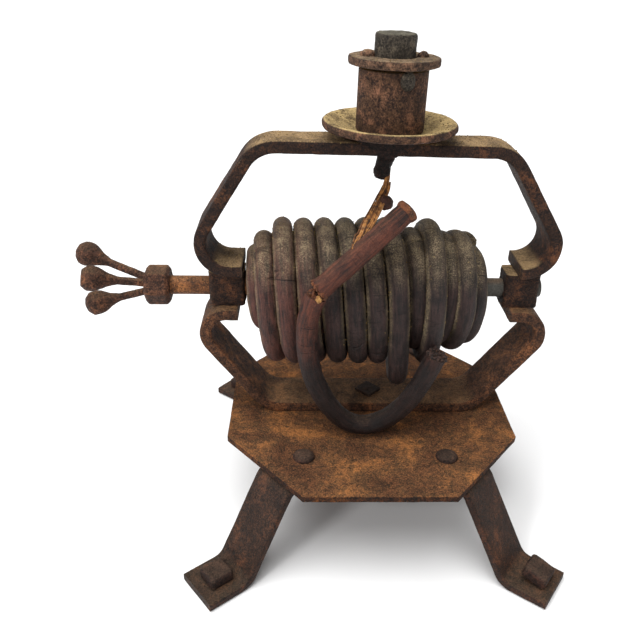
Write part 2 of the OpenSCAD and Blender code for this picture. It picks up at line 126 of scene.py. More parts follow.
def new_group(name, sockets):
    """A Geometry Nodes tree with those inputs, as {name: socket kind}, and its two end nodes."""
    tree = bpy.data.node_groups.new(name, "GeometryNodeTree")
    tree.interface.new_socket("Geometry", in_out="INPUT", socket_type="NodeSocketGeometry")
    for label, kind in sockets.items():
        tree.interface.new_socket(label, in_out="INPUT", socket_type="NodeSocket" + kind)
    tree.interface.new_socket("Geometry", in_out="OUTPUT", socket_type="NodeSocketGeometry")
    return tree, tree.nodes.new("NodeGroupInput"), tree.nodes.new("NodeGroupOutput")


def swell(tree, geometry, vector, depth, size):
    """Moves every point along its normal by up to depth, in soft lumps of that size."""
    lumps = add(tree, "ShaderNodeTexNoise", {"Vector": vector, "Scale": math_of(tree, "DIVIDE", 1.0, size),
                                             "Detail": 3.0, "Roughness": 0.55})
    height = math_of(tree, "MULTIPLY", math_of(tree, "SUBTRACT", lumps.outputs[0], 0.5),
                     math_of(tree, "MULTIPLY", depth, 2.0))
    offset = add(tree, "ShaderNodeVectorMath", {0: tree.nodes.new("GeometryNodeInputNormal").outputs[0]},
                 operation="SCALE")
    tree.links.new(height, offset.inputs["Scale"])
    return add(tree, "GeometryNodeSetPosition",
               {"Geometry": geometry, "Offset": offset.outputs[0]}).outputs[0]


def cord_tree():
    """A round cord along a line of points. It stores "sheath", a place round and along the cord."""
    tree, start, end = new_group("cord along a line", {"Radius": "Float", "Sides": "Int", "Step": "Float",
                                                       "Lump Depth": "Float", "Lump Size": "Float",
                                                       "Wrinkle Depth": "Float", "Wrinkle Size": "Float",
                                                       "Material": "Material"})
    line = add(tree, "GeometryNodeMeshToCurve", {"Mesh": start.outputs["Geometry"]})
    thick = add(tree, "GeometryNodeInputNamedAttribute", {"Name": "thick"}, data_type="FLOAT")
    line = add(tree, "GeometryNodeSetCurveRadius", {"Curve": line.outputs[0], "Radius": thick.outputs[0]})
    line = add(tree, "GeometryNodeResampleCurve",
               {"Curve": line.outputs[0], "Length": start.outputs["Step"]}, mode="LENGTH")
    run = add(tree, "GeometryNodeSplineParameter")
    line = add(tree, "GeometryNodeStoreNamedAttribute", {"Geometry": line.outputs[0], "Name": "run",
                                                         "Value": run.outputs["Length"]}, data_type="FLOAT",
               domain="POINT")
    ring = add(tree, "GeometryNodeCurvePrimitiveCircle", {"Resolution": start.outputs["Sides"],
                                                          "Radius": start.outputs["Radius"]})
    place = add(tree, "GeometryNodeInputPosition")
    ring = add(tree, "GeometryNodeStoreNamedAttribute", {"Geometry": ring.outputs[0], "Name": "ring",
                                                         "Value": place.outputs[0]},
               data_type="FLOAT_VECTOR", domain="POINT")
    tube = add(tree, "GeometryNodeCurveToMesh", {"Curve": line.outputs[0], "Profile Curve": ring.outputs[0],
                                                 "Fill Caps": True})
    ring_at = add(tree, "GeometryNodeInputNamedAttribute", {"Name": "ring"}, data_type="FLOAT_VECTOR")
    run_at = add(tree, "GeometryNodeInputNamedAttribute", {"Name": "run"}, data_type="FLOAT")
    split = add(tree, "ShaderNodeSeparateXYZ", {0: ring_at.outputs[0]})
    sheath = add(tree, "ShaderNodeCombineXYZ", {"X": split.outputs["X"], "Y": split.outputs["Y"],
                                                "Z": run_at.outputs[0]})
    tube = add(tree, "GeometryNodeStoreNamedAttribute", {"Geometry": tube.outputs[0], "Name": "sheath",
                                                         "Value": sheath.outputs[0]},
               data_type="FLOAT_VECTOR", domain="POINT")
    sheath_at = add(tree, "GeometryNodeInputNamedAttribute", {"Name": "sheath"}, data_type="FLOAT_VECTOR")
    drawn = add(tree, "ShaderNodeVectorMath", {0: sheath_at.outputs[0], 1: (1.0, 1.0, 0.3)},
                operation="MULTIPLY")
    skin = swell(tree, tube.outputs[0], place.outputs[0], start.outputs["Lump Depth"],
                 start.outputs["Lump Size"])
    skin = swell(tree, skin, drawn.outputs[0], start.outputs["Wrinkle Depth"], start.outputs["Wrinkle Size"])
    skin = add(tree, "GeometryNodeSetMaterial", {"Geometry": skin, "Material": start.outputs["Material"]})
    tree.links.new(skin.outputs[0], end.inputs[0])
    return tree


def line_object(lines, thick=None):
    """Open lines of points in the frame, as one mesh of edges that a tree can follow."""
    mesh = bpy.data.meshes.new("line")
    points, edges, sizes = [], [], []
    for i, line in enumerate(lines):
        edges += [(len(points) + k, len(points) + k + 1) for k in range(len(line) - 1)]
        points += [tuple(p) for p in line]
        sizes += list(thick[i]) if thick else [1.0]*len(line)
    mesh.from_pydata(points, edges, [])
    mesh.attributes.new("thick", "FLOAT", "POINT").data.foreach_set("value", sizes)
    source = bpy.data.objects.new("line", mesh)
    bpy.context.scene.collection.objects.link(source)
    return source


def grown(name, source, tree, crease=40, **values):
    """The tree's result on the source, as a plain mesh object. It stores "top", how far a point faces up."""
    modifier = source.modifiers.new("tree", "NODES")
    modifier.node_group = tree
    for item in tree.interface.items_tree:
        key = item.name.replace(" ", "_").lower()
        if item.item_type == "SOCKET" and item.in_out == "INPUT" and key in values:
            modifier[item.identifier] = values[key]
    graph = bpy.context.evaluated_depsgraph_get()
    mesh = bpy.data.meshes.new_from_object(source.evaluated_get(graph), preserve_all_data_layers=True,
                                           depsgraph=graph)
    bpy.data.objects.remove(source)
    return shown(name, mesh, crease)


def shown(name, mesh, crease=40):
    mesh.name = name
    count = len(mesh.vertices)
    mesh.calc_loop_triangles()
    co, tri = np.empty(count*3), np.empty(len(mesh.loop_triangles)*3, np.int32)
    mesh.vertices.foreach_get("co", co)
    mesh.loop_triangles.foreach_get("vertices", tri)
    a, b, c = co.reshape(-1, 3)[tri.reshape(-1, 3)].transpose(1, 0, 2)
    if np.einsum("ij,ij->i", a, np.cross(b, c)).sum() < 0:
        mesh.flip_normals()
    normals = np.empty(count*3)
    mesh.vertices.foreach_get("normal", normals)
    top = mesh.attributes.new("top", "FLOAT", "POINT")
    top.data.foreach_set("value", np.clip(normals[2::3], 0, 1).astype(np.float32))
    mesh.shade_smooth()
    mesh.set_sharp_from_angle(angle=math.radians(crease))
    obj = bpy.data.objects.new(name, mesh)
    bpy.context.scene.collection.objects.link(obj)
    return obj


def kept_in(obj, *nodes):
    """Presses what a lump pushed past the outer box of these nodes back to it."""
    boxes = [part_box(node) for node in nodes]
    low, high = np.min([b[0] for b in boxes], axis=0), np.max([b[1] for b in boxes], axis=0)
    co = np.empty(len(obj.data.vertices)*3)
    obj.data.vertices.foreach_get("co", co)
    obj.data.vertices.foreach_set("co", np.clip(co.reshape(-1, 3), low, high).ravel())


def smooth(t):
    return t*t*(3 - 2*t)


def winding_line(turns, steps, wobble, slack_turn=None):
    """The winding's middle line and thickness, from its first turn to its last, going down the front.
    The slack turn hangs lower than the others below the shaft."""
    count = (len(turns) - 1)*steps
    t = np.arange(count)/steps
    knots = [i + share for i in range(len(turns) - 1) for share in (0, 0.25, 0.5)]
    table = np.array(turns)
    found = []
    for first in (0, 3):
        values = np.interp(t, knots, table[:-1, first:first + 3].ravel())
        padded = np.pad(values, 7, mode="edge")
        found.append(np.convolve(padded, np.ones(15)/15, mode="valid"))
    thick = np.interp(t, np.arange(len(turns)) + 0.25, table[:, 6])
    points = []
    for k, (r, x) in enumerate(zip(*found)):
        turn = t[k] % 1
        r += wobble*noise.noise((int(t[k])*3.1, math.cos(turn*math.tau)*1.3, math.sin(turn*math.tau)*1.3))
        slack = SLACK_DROP if int(t[k]) == slack_turn else 0
        drop = slack*smooth(min(1, max(0, (0.33 - abs(turn - 0.5))/0.16)))
        drop += 2.3*min(1, max(0, (r - 20)/12))
        points.append(at(x, -r*math.sin(turn*math.tau), SHAFT_Z - drop + r*math.cos(turn*math.tau)))
    return points, list(thick)


def hex_colour(code):
    """A colour on the screen, such as 8a5a3c, as linear light."""
    parts = [int(code[i:i + 2], 16)/255 for i in (0, 2, 4)]
    return [p/12.92 if p <= 0.04045 else ((p + 0.055)/1.055)**2.4 for p in parts] + [1.0]


def ramp(tree, value, low, high):
    """0 below low and 1 above high, with a soft run between them."""
    return add(tree, "ShaderNodeMapRange", {"Value": value, "From Min": low, "From Max": high},
               interpolation_type="SMOOTHSTEP").outputs[0]


def blend(tree, amount, a, b):
    return add(tree, "ShaderNodeMix", {0: amount, 6: a, 7: b}, data_type="RGBA").outputs[2]


def grain(tree, vector, size, detail=4.0, rough=0.6, warp=0.0):
    return add(tree, "ShaderNodeTexNoise", {"Vector": vector, "Scale": 1/(size*MM), "Detail": detail,
                                            "Roughness": rough, "Distortion": warp}).outputs[0]


def shaded(tree, colour, value, low, high):
    """The colour times low where the value is small, up to times high where it is large."""
    amount = add(tree, "ShaderNodeMapRange", {"Value": value, "From Min": 0.3, "From Max": 0.7,
                                              "To Min": low, "To Max": high}).outputs[0]
    node = add(tree, "ShaderNodeVectorMath", {0: colour}, operation="SCALE")
    tree.links.new(amount, node.inputs["Scale"])
    return node.outputs[0]


def cells(tree, vector, size, feature="F1"):
    return add(tree, "ShaderNodeTexVoronoi", {"Vector": vector, "Scale": 1/(size*MM)},
               feature=feature).outputs["Distance"]


def new_material(name):
    material = bpy.data.materials.new(name)
    material.use_nodes = True
    tree = material.node_tree
    surface = tree.nodes["Principled BSDF"]
    place = add(tree, "ShaderNodeTexCoord").outputs["Object"]
    return material, tree, surface, place


def stored(tree, name, output="Fac"):
    return add(tree, "ShaderNodeAttribute", attribute_name=name).outputs[output]


def bump(tree, height, depth, under=None):
    node = add(tree, "ShaderNodeBump", {"Height": height, "Strength": 1.0, "Distance": depth*MM})
    if under is not None:
        tree.links.new(under, node.inputs["Normal"])
    return node.outputs[0]


def sheath_material(name, dark, base, red, dust, red_from, red_to, dust_share, shine, grainy):
    """Perished dull sheath: redder towards one place, streaks along the cord, creases across it and dust
    on top and in the gaps. red_from is the axis and place in mm where the red starts, red_to where it is
    full, and grainy is how much the streaks lighten and darken it."""
    material, tree, surface, place = new_material(name)
    sheath = stored(tree, "sheath", "Vector")
    along = add(tree, "ShaderNodeVectorMath", {0: sheath, 1: (1, 1, 0.12)}, operation="MULTIPLY").outputs[0]
    across = add(tree, "ShaderNodeVectorMath", {0: sheath, 1: (0.1, 0.1, 1)}, operation="MULTIPLY").outputs[0]
    blotch, patch = grain(tree, place, 9, 5, 0.65, 0.3), grain(tree, place, 26, 2, 0.5)
    streak, fine = grain(tree, along, 1.3, 6, 0.7, 0.5), grain(tree, place, 0.55, 4, 0.75)
    wrinkle = grain(tree, across, 1.8, 4, 0.6, 0.8)
    crack = cells(tree, across, 7, "DISTANCE_TO_EDGE")
    colour = blend(tree, ramp(tree, math_of(tree, "ADD", math_of(tree, "MULTIPLY", streak, 0.6),
                                            math_of(tree, "MULTIPLY", blotch, 0.4)), 0.4, 0.6),
                   hex_colour(dark), hex_colour(base))
    axis, low = red_from
    spot = add(tree, "ShaderNodeSeparateXYZ", {0: place}).outputs[axis]
    offset = PLATE_X if axis == "X" else 0
    redness = ramp(tree,
                   math_of(tree, "ADD", spot,
                           math_of(tree, "MULTIPLY", math_of(tree, "SUBTRACT", patch, 0.5), 0.03)),
                   low*MM + offset, red_to*MM + offset)
    redness = math_of(tree, "MULTIPLY", redness,
                      ramp(tree, math_of(tree, "ADD", math_of(tree, "MULTIPLY", blotch, 0.4),
                                         math_of(tree, "MULTIPLY", streak, 0.6)), 0.34, 0.62))
    colour = blend(tree, redness, colour, hex_colour(red))
    up = ramp(tree, stored(tree, "top"), 0.3, 0.95)
    high = ramp(tree, add(tree, "ShaderNodeSeparateXYZ", {0: place}).outputs["Z"], 0.096, 0.118)
    valley = math_of(tree, "MULTIPLY", ramp(tree, stored(tree, "deep"), 0.2, 0.6), high)
    lies = math_of(tree, "MAXIMUM", up, math_of(tree, "MULTIPLY", valley, 0.8))
    specks = ramp(tree, math_of(tree, "ADD", fine, math_of(tree, "MULTIPLY", blotch, 0.6)), 0.72, 1.0)
    dusty = math_of(tree, "MULTIPLY", math_of(tree, "MULTIPLY", lies, dust_share),
                    math_of(tree, "ADD", 0.25, math_of(tree, "MULTIPLY", specks, 1.3)))
    colour = blend(tree, math_of(tree, "MINIMUM", dusty, 0.9), colour, hex_colour(dust))
    cracked = math_of(tree, "MULTIPLY", ramp(tree, crack, 0.02, 0.0), ramp(tree, patch, 0.52, 0.6))
    colour = blend(tree, math_of(tree, "MULTIPLY", cracked, 0.5), colour, hex_colour("0d0908"))
    colour = shaded(tree, shaded(tree, colour, fine, 0.5, 1.6), streak, 1 - grainy, 1 + grainy)
    tree.links.new(colour, surface.inputs["Base Color"])
    tree.links.new(math_of(tree, "ADD", 0.42, math_of(tree, "ADD", math_of(tree, "MULTIPLY", blotch, 0.3),
                                                      math_of(tree, "MULTIPLY", dusty, 0.4))),
                   surface.inputs["Roughness"])
    surface.inputs["Specular IOR Level"].default_value = shine
    height = math_of(tree, "SUBTRACT",
                     math_of(tree, "ADD", streak, math_of(tree, "MULTIPLY", wrinkle, 0.7)),
                     math_of(tree, "MULTIPLY", cracked, 0.8))
    under = bump(tree, height, 0.8)
    tree.links.new(bump(tree, math_of(tree, "ADD", fine, blotch), 0.4, under), surface.inputs["Normal"])
    return material


def store_deep(obj):
    """Stores "deep", from 0 on the winding's outer crests to 1 in the gaps between its turns."""
    mesh = obj.data
    co, normal = np.empty(len(mesh.vertices)*3), np.empty(len(mesh.vertices)*3)
    mesh.vertices.foreach_get("co", co)
    mesh.vertices.foreach_get("normal", normal)
    co, normal = co.reshape(-1, 3), normal.reshape(-1, 3)
    out = co*(0, 1, 1) - (0, 0, SHAFT_Z*MM)
    out /= np.linalg.norm(out, axis=1, keepdims=True) + 1e-9
    deep = np.clip(1 - (normal*out).sum(1), 0, 1)
    mesh.attributes.new("deep", "FLOAT", "POINT").data.foreach_set("value", deep.astype(np.float32))


def crumb_tree():
    """Small angular crumbs scattered over a surface, as thickly as its "crumb" attribute says."""
    tree, start, end = new_group("scattered crumbs", {"Density": "Float", "Size": "Float", "Seed": "Int",
                                                      "Material": "Material"})
    share = add(tree, "GeometryNodeInputNamedAttribute", {"Name": "crumb"}, data_type="FLOAT").outputs[0]
    spots = add(tree, "GeometryNodeDistributePointsOnFaces",
                {"Mesh": start.outputs["Geometry"], "Seed": start.outputs["Seed"],
                 "Density": math_of(tree, "MULTIPLY", share, start.outputs["Density"])})
    size = start.outputs["Size"]
    crumb = add(tree, "GeometryNodeMeshCone", {"Vertices": 5, "Radius Bottom": size, "Depth": size,
                                               "Radius Top": math_of(tree, "MULTIPLY", size, 0.4)})
    turn = add(tree, "FunctionNodeRandomValue", {0: (0, 0, 0), 1: (6.28, 6.28, 6.28), "Seed": 1},
               data_type="FLOAT_VECTOR")
    scale = add(tree, "FunctionNodeRandomValue", {0: (0.3, 0.3, 0.3), 1: (1.2, 1.2, 1.2), "Seed": 2},
                data_type="FLOAT_VECTOR")
    crumbs = add(tree, "GeometryNodeInstanceOnPoints",
                 {"Points": spots.outputs[0], "Instance": crumb.outputs[0], "Rotation": turn.outputs[0],
                  "Scale": scale.outputs[0]})
    crumbs = add(tree, "GeometryNodeRealizeInstances", {0: crumbs.outputs[0]})
    crumbs = add(tree, "GeometryNodeSetMaterial",
                 {"Geometry": crumbs.outputs[0], "Material": start.outputs["Material"]})
    tree.links.new(crumbs.outputs[0], end.inputs[0])
    return tree


def scattered(name, obj, share, body, slot, **values):
    """Crumbs over the object, on the body. share gives how thickly from the places and normals, in mm."""
    mesh = obj.data.copy()
    co, normal = np.empty(len(mesh.vertices)*3), np.empty(len(mesh.vertices)*3)
    mesh.vertices.foreach_get("co", co)
    mesh.vertices.foreach_get("normal", normal)
    co = co.reshape(-1, 3)/MM - (PLATE_X/MM, 0, 0)
    found = np.clip(share(co, normal.reshape(-1, 3)), 0, 1)
    mesh.attributes.new("crumb", "FLOAT", "POINT").data.foreach_set("value", found.astype(np.float32))
    source = bpy.data.objects.new("source", mesh)
    bpy.context.scene.collection.objects.link(source)
    crumbs = grown(name, source, CRUMB_TREE, **values)
    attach(crumbs, body)
    return crumbs


def crumb_material(name, dark, pale):
    """Dry dirt and fibre crumbs, from dark to pale."""
    material, tree, surface, place = new_material(name)
    tree.links.new(blend(tree, ramp(tree, grain(tree, place, 1.5, 3), 0.35, 0.65), hex_colour(dark),
                         hex_colour(pale)), surface.inputs["Base Color"])
    surface.inputs["Roughness"].default_value = 0.95
    surface.inputs["Specular IOR Level"].default_value = 0.1
    return material


CRUMB_TREE = crumb_tree()
dirt = crumb_material("dry dirt crumbs", "4a3a24", "a58c5e")
CORD_TREE = cord_tree()
wound_sheath = sheath_material("perished dark cord sheath", "17100f", "352522", "57332a", "8a7a60",
                               ("X", -16), -46, 0.75, 0.32, 0.12)
under_turns = [(23.6, 23.6, 23.6, x, x + 1.5, x + 5, 1) for x in range(-50, 44, 10)]
wound_lines, wound_thick = zip(winding_line(TURNS, 72, 0.6, SLACK_TURN), winding_line(under_turns, 48, 0.3))
wound = grown("wound_cord", line_object(wound_lines, wound_thick), CORD_TREE, radius=CORD_R*MM, sides=24,
              step=1.3*MM, lump_depth=0.35*MM, lump_size=14*MM, wrinkle_depth=0.16*MM, wrinkle_size=2.4*MM,
              material=wound_sheath)
store_deep(wound)


def crumbs_on_winding(co, n):
    """Crumbs lie thickly in the upper gaps between the turns, and thinly on top of them."""
    out = co*(0, 1, 1) - (0, 0, SHAFT_Z)
    reach = np.linalg.norm(out, axis=1)
    away = out/reach[:, None]
    gaps = np.clip((1 - (n*away).sum(1) - 0.35)*1.6, 0, 1)
    return gaps*(co[:, 2] > CRUMBS_FROM_Z)*(reach > CRUMBS_FROM_RADIUS) + 0.25*np.clip(n[:, 2] - 0.3, 0, 1)


scattered("winding_crumbs", wound, crumbs_on_winding, "reel", "cord_sheath", density=1.5e5, size=0.42*MM,
          seed=3, material=dirt)
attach(wound, "reel")
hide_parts("cord_winding", "slack_turn")

# ---------------------------------------------------------------- loose cord
# The outer end of the same cord, stiff with age. It starts at a torn end
# beside the winding, hangs in a loop over the yoke, breaks at a kink on the
# left and runs up as a stub that ends in a flared cut.
LOOSE = [(27.3, -40.8, 105), (24, -40, 95), (19.8, -38.5, 83.5), (13.9, -36, 72), (6, -34, 63),
         (-4, -33, 58.4), (-14.7, -34, 62), (-23.3, -36.2, 72.8), (-29.7, -39, 86.5), (-33.4, -41.8, 99.7),
         (-35, -43.8, 112), (-35, -44.8, 123.3), (-33.6, -45, 131.6), (-31.4, -44.8, 138.4)]
STUB = [(-29.6, -44.3, 141.9), (-26.8, -43.8, 144.2), (-19.4, -42, 150.6), (-12, -40, 156.9),
        (-4.4, -37, 163.4), (3, -33.6, 169.4), (9.6, -30.8, 174.7)]


def flowing(points, step=1.0):
    """A smooth line through the points, in the frame."""
    found = []
    for i in range(len(points) - 1):
        p0, p1, p2, p3 = (Vector(points[min(max(i + k, 0), len(points) - 1)]) for k in (-1, 0, 1, 2))
        count = max(2, round((p2 - p1).length/step))
        for k in range(count):
            t = k/count
            found.append(0.5*((2*p1) + (p2 - p0)*t + (2*p0 - 5*p1 + 4*p2 - p3)*t*t
                              + (3*p1 - p0 - 3*p2 + p3)*t**3))
    found.append(Vector(points[-1]))
    return [at(*p) for p in found]


def thickness(line, ends):
    """How thick the cord is at each point, from (share of its length, thickness) pairs."""
    shares, sizes = zip(*ends)
    return [float(v) for v in np.interp(np.linspace(0, 1, len(line)), shares, sizes)]


loop_line, stub_line = flowing(LOOSE), flowing(STUB)
loose_sheath = sheath_material("torn red brown cord sheath", "130c0b", "271814", "5b2f20", "5a4a3a",
                               ("Z", 90), 142, 0.3, 0.3, 0.2)
loose = grown("loose_cord_loop", line_object([loop_line, stub_line],
                                             [thickness(loop_line,
                                                        [(0, 0.78), (0.03, 0.95), (0.5, 1), (0.93, 1),
                                                         (1, 0.72)]),
                                              thickness(stub_line,
                                                        [(0, 0.8), (0.05, 1.16), (0.25, 1.14), (0.5, 1),
                                                         (0.8, 0.96), (0.95, 1.06), (1, 1.1)])]), CORD_TREE,
              radius=CORD_R*MM, sides=24, step=0.9*MM, lump_depth=0.4*MM, lump_size=9*MM,
              wrinkle_depth=0.35*MM, wrinkle_size=1.9*MM, material=loose_sheath)
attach(loose, "stand")
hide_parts("loose_cord")


def turned(profile, sides=64, outline=None, angles=None, closed=False, where=None, step=0.9, ease=0.5):
    """A solid turned round +Z from (radius, height) points in mm, traced so that the outside is on the right.
    outline gives the radius's share at an angle. Corners are eased, and long runs are cut into steps."""
    points, count = [], len(profile)
    for i, point in enumerate(profile):
        p = Vector(point)
        if not closed and i in (0, count - 1):
            points.append(p)
            continue
        before, after = Vector(profile[i - 1]) - p, Vector(profile[(i + 1) % count]) - p
        a = p + before.normalized()*min(ease, before.length*0.4)
        b = p + after.normalized()*min(ease, after.length*0.4)
        points += [a, (a + 2*p + b)/4, b]
    if closed:
        points.append(points[0])
    rings = []
    for a, b in zip(points, points[1:]):
        parts = max(1, math.ceil((b - a).length/step))
        rings += [a.lerp(b, k/parts) for k in range(parts)]
    if not closed:
        rings.append(points[-1])
    angles = angles or [math.tau*k/sides for k in range(sides)]
    where = where or Matrix.Translation(at(0, 0, 0))
    verts, faces, starts = [], [], []
    for ring in rings:
        starts.append(len(verts))
        around = angles if ring.x > 1e-6 else [0.0]
        for angle in around:
            r = ring.x*(outline(angle) if outline else 1)
            verts.append(where @ (Vector((r*math.cos(angle), r*math.sin(angle), ring.y))*MM))
    pairs = [(i, (i + 1) % len(rings)) for i in range(len(rings) - (0 if closed else 1))]
    n = len(angles)
    for i, j in pairs:
        a, b = starts[i], starts[j]
        for k in range(n):
            m = (k + 1) % n
            if rings[i].x <= 1e-6:
                faces.append((a, b + m, b + k))
            elif rings[j].x <= 1e-6:
                faces.append((a + k, a + m, b))
            else:
                faces.append((a + k, a + m, b + m, b + k))
    mesh = bpy.data.meshes.new("turned")
    mesh.from_pydata([tuple(v) for v in verts], [], faces)
    source = bpy.data.objects.new("turned", mesh)
    bpy.context.scene.collection.objects.link(source)
    return source


def skin_tree():
    """Gives a plain solid a lumpy, pitted skin."""
    tree, start, end = new_group("rough skin", {"Lump Depth": "Float", "Lump Size": "Float",
                                                "Pit Depth": "Float", "Pit Size": "Float",
                                                "Material": "Material"})
    place = add(tree, "GeometryNodeInputPosition").outputs[0]
    skin = swell(tree, start.outputs["Geometry"], place, start.outputs["Lump Depth"],
                 start.outputs["Lump Size"])
    skin = swell(tree, skin, place, start.outputs["Pit Depth"], start.outputs["Pit Size"])
    skin = add(tree, "GeometryNodeSetMaterial", {"Geometry": skin, "Material": start.outputs["Material"]})
    tree.links.new(skin.outputs[0], end.inputs[0])
    return tree


SKIN_TREE = skin_tree()


def along(line, reverse=False):
    """A frame at the line's last point, or at its first in reverse, with +Z on out of the line."""
    a, b = (line[3], line[0]) if reverse else (line[-4], line[-1])
    return Matrix.Translation(b) @ (b - a).to_track_quat("Z", "Y").to_matrix().to_4x4()


def tissue_material(name, dark, base, pale):
    """Dry orange fibres and tissue inside the torn cord."""
    material, tree, surface, place = new_material(name)
    coarse, fine = grain(tree, place, 3, 4), grain(tree, place, 0.7, 4, 0.7)
    colour = blend(tree, ramp(tree, coarse, 0.35, 0.6), hex_colour(dark), hex_colour(base))
    colour = blend(tree, ramp(tree, fine, 0.52, 0.75), colour, hex_colour(pale))
    tree.links.new(colour, surface.inputs["Base Color"])
    surface.inputs["Roughness"].default_value = 0.85
    tree.links.new(bump(tree, math_of(tree, "ADD", fine, coarse), 0.7), surface.inputs["Normal"])
    return material


# The turn from each strand to the next that spreads them evenly over a disc
GOLDEN_ANGLE = 2.39996


def ragged(name, where, count, reach, spread, thick, seed, material):
    """Torn fibres standing out of a place along +Z."""
    strands, sizes = [], []
    for k in range(count):
        a, r = k*GOLDEN_ANGLE, spread*math.sqrt((k + 0.5)/count)
        lean = Vector((math.cos(a), math.sin(a), 0))
        bend = Vector((noise.noise((k*1.7, seed, 0)), noise.noise((k*1.7, seed, 5)), 0))
        tall = reach*(0.45 + 0.55*abs(noise.noise((k*2.3, seed, 9)))*2)
        strand = []
        for t in (0, 0.2, 0.4, 0.6, 0.8, 1):
            rise = Vector((0, 0, -1.5 + (tall + 1.5)*t))
            strand.append(where @ ((lean*(r + 0.25*r*t*t) + bend*(1.6*t*t) + rise)*MM))
        strands.append(strand)
        sizes.append([1, 1, 0.9, 0.8, 0.6, 0.3])
    return grown(name, line_object(strands, sizes), CORD_TREE, radius=thick*MM, sides=6, step=0.5*MM,
                 lump_depth=0.25*MM, lump_size=1.2*MM, wrinkle_depth=0.1*MM, wrinkle_size=0.5*MM,
                 material=material)


tissue = tissue_material("dry orange tissue", "33190f", "6b3a1e", "a2713f")
dark_tissue = tissue_material("dark torn tissue", "180f0c", "33201a", "7a5236")
pale_tissue = tissue_material("pale torn pith", "6b3f1f", "b08045", "d8bd8a")
cup = [(0, -1.6), (1.6, -1.3), (3.3, 0), (4.5, 0.9), (5.25, 0.7), (5.6, -0.4), (5.2, -2.5), (0, -4)]
stub_end = grown("stub_cut_end", turned(cup[::-1], 40, where=along(stub_line)), SKIN_TREE,
                 lump_depth=0.6*MM, lump_size=3.5*MM, pit_depth=0.2*MM, pit_size=1*MM, material=tissue)
kink_flap = grown("kink_torn_pith", turned([(0, -1.8), (1.2, -1), (1.6, 0.4), (0.9, 1.8), (0, 2.4)], 32,
                                           where=Matrix.Translation(at(-30.2, -48.6, 138.2))), SKIN_TREE,
                  lump_depth=0.8*MM, lump_size=1.6*MM, pit_depth=0.3*MM, pit_size=0.8*MM,
                  material=pale_tissue)
kink_low = ragged("kink_torn_loop_end", along(loop_line), 34, 2.6, 3.4, 0.7, 3, tissue)
kink_high = ragged("kink_torn_stub_end", along(stub_line, True), 40, 1.4, 4.6, 0.8, 4, tissue)
torn_end = ragged("loop_torn_end", along(loop_line, True), 44, 2.2, 4.1, 0.8, 6, dark_tissue)
torn_parts = [stub_end, kink_flap, kink_low, kink_high, torn_end]
for piece in torn_parts:
    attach(piece, "stand")

# ---------------------------------------------------------------- fibre strip
# A strip of dry straw-coloured bast, tied to the spindle's tail and lying
# against the stub of cord, with a dark knot behind it.
FIBRE = [(3.4, -0.6, 183.4), (3, -2, 180), (1.8, -5.2, 176), (-0.6, -10, 173), (-4.2, -18, 169.4),
         (-8.6, -28, 164.8), (-12, -35, 161.6), (-15.2, -41, 160.2)]
STRANDS = 22
fibre_lines, fibre_thick = [], []
middle = flowing(FIBRE, 1.5)
for k in range(STRANDS):
    a = k*GOLDEN_ANGLE
    out = math.sqrt((k + 0.5)/STRANDS)
    wide, deep = 2.6*math.cos(a)*out, 1.3*math.sin(a)*out
    strand = []
    for i, p in enumerate(middle):
        t = i/(len(middle) - 1)
        if t < 0.8:
            swing = 0.35 + 0.75*math.sin(math.pi*min(1, max(0, t*1.2 - 0.12)))
        else:
            swing = 1.07 - (t - 0.8)*4.6
        drift = 1.5*noise.noise((k*7.7, t*3, 0)), 1.2*noise.noise((k*7.7, t*3, 9))
        strand.append(p + Vector((wide*swing + drift[0], (deep + drift[1])*0.7,
                                  (deep*0.3 - wide*0.35)*swing))*MM)
    first = 0 if k % 4 == 0 else int(len(strand)*(0.1 + 0.12*abs(noise.noise((k*1.9, 4, 1)))))
    last = int(len(strand)*(0.74 + 0.5*abs(noise.noise((k*3.3, 1, 1))))) if k % 3 == 0 else len(strand)
    fibre_lines.append(strand[first:max(first + 6, min(last, len(strand)))])
    fibre_thick.append(thickness(fibre_lines[-1], [(0, 0.6), (0.3, 1.15), (0.8, 1), (1, 0.35)]))


def fibre_material(name, dark, base, pale):
    """Dry plant fibre, streaked along its length."""
    material, tree, surface, place = new_material(name)
    streak = grain(tree, stored(tree, "sheath", "Vector"), 4, 4, 0.7)
    patch = grain(tree, place, 2.2, 3)
    colour = blend(tree, ramp(tree, patch, 0.35, 0.65), hex_colour(dark), hex_colour(base))
    colour = blend(tree, ramp(tree, streak, 0.5, 0.8), colour, hex_colour(pale))
    tree.links.new(colour, surface.inputs["Base Color"])
    surface.inputs["Roughness"].default_value = 0.8
    return material


straw = fibre_material("dry straw fibre", "6b4220", "b67c40", "e8c58c")
old_straw = fibre_material("old brown fibre", "2e1a0d", "6e4320", "a8743c")
fibres, brown_fibres = (grown(name, line_object(fibre_lines[first::2], fibre_thick[first::2]), CORD_TREE,
                              radius=0.42*MM, sides=6, step=0.7*MM, lump_depth=0.12*MM, lump_size=2*MM,
                              wrinkle_depth=0.05*MM, wrinkle_size=0.8*MM, material=shade) for name, first,
                        shade in (("fibre_strip", 0, straw), ("fibre_strip_dark", 1, old_straw)))
knot = grown("fibre_knot", turned([(0, -3.6), (3.6, -2), (4.2, 1), (2.6, 3.2), (0, 3.8)], 40,
                                  where=Matrix.Translation(at(1.6, -8.6, 170.4))), SKIN_TREE,
             lump_depth=1.2*MM, lump_size=4.5*MM, pit_depth=0.3*MM, pit_size=1.4*MM, material=loose_sheath)
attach(fibres, "stand")
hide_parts("fibre_lashing")
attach(brown_fibres, "stand")
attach(knot, "stand")

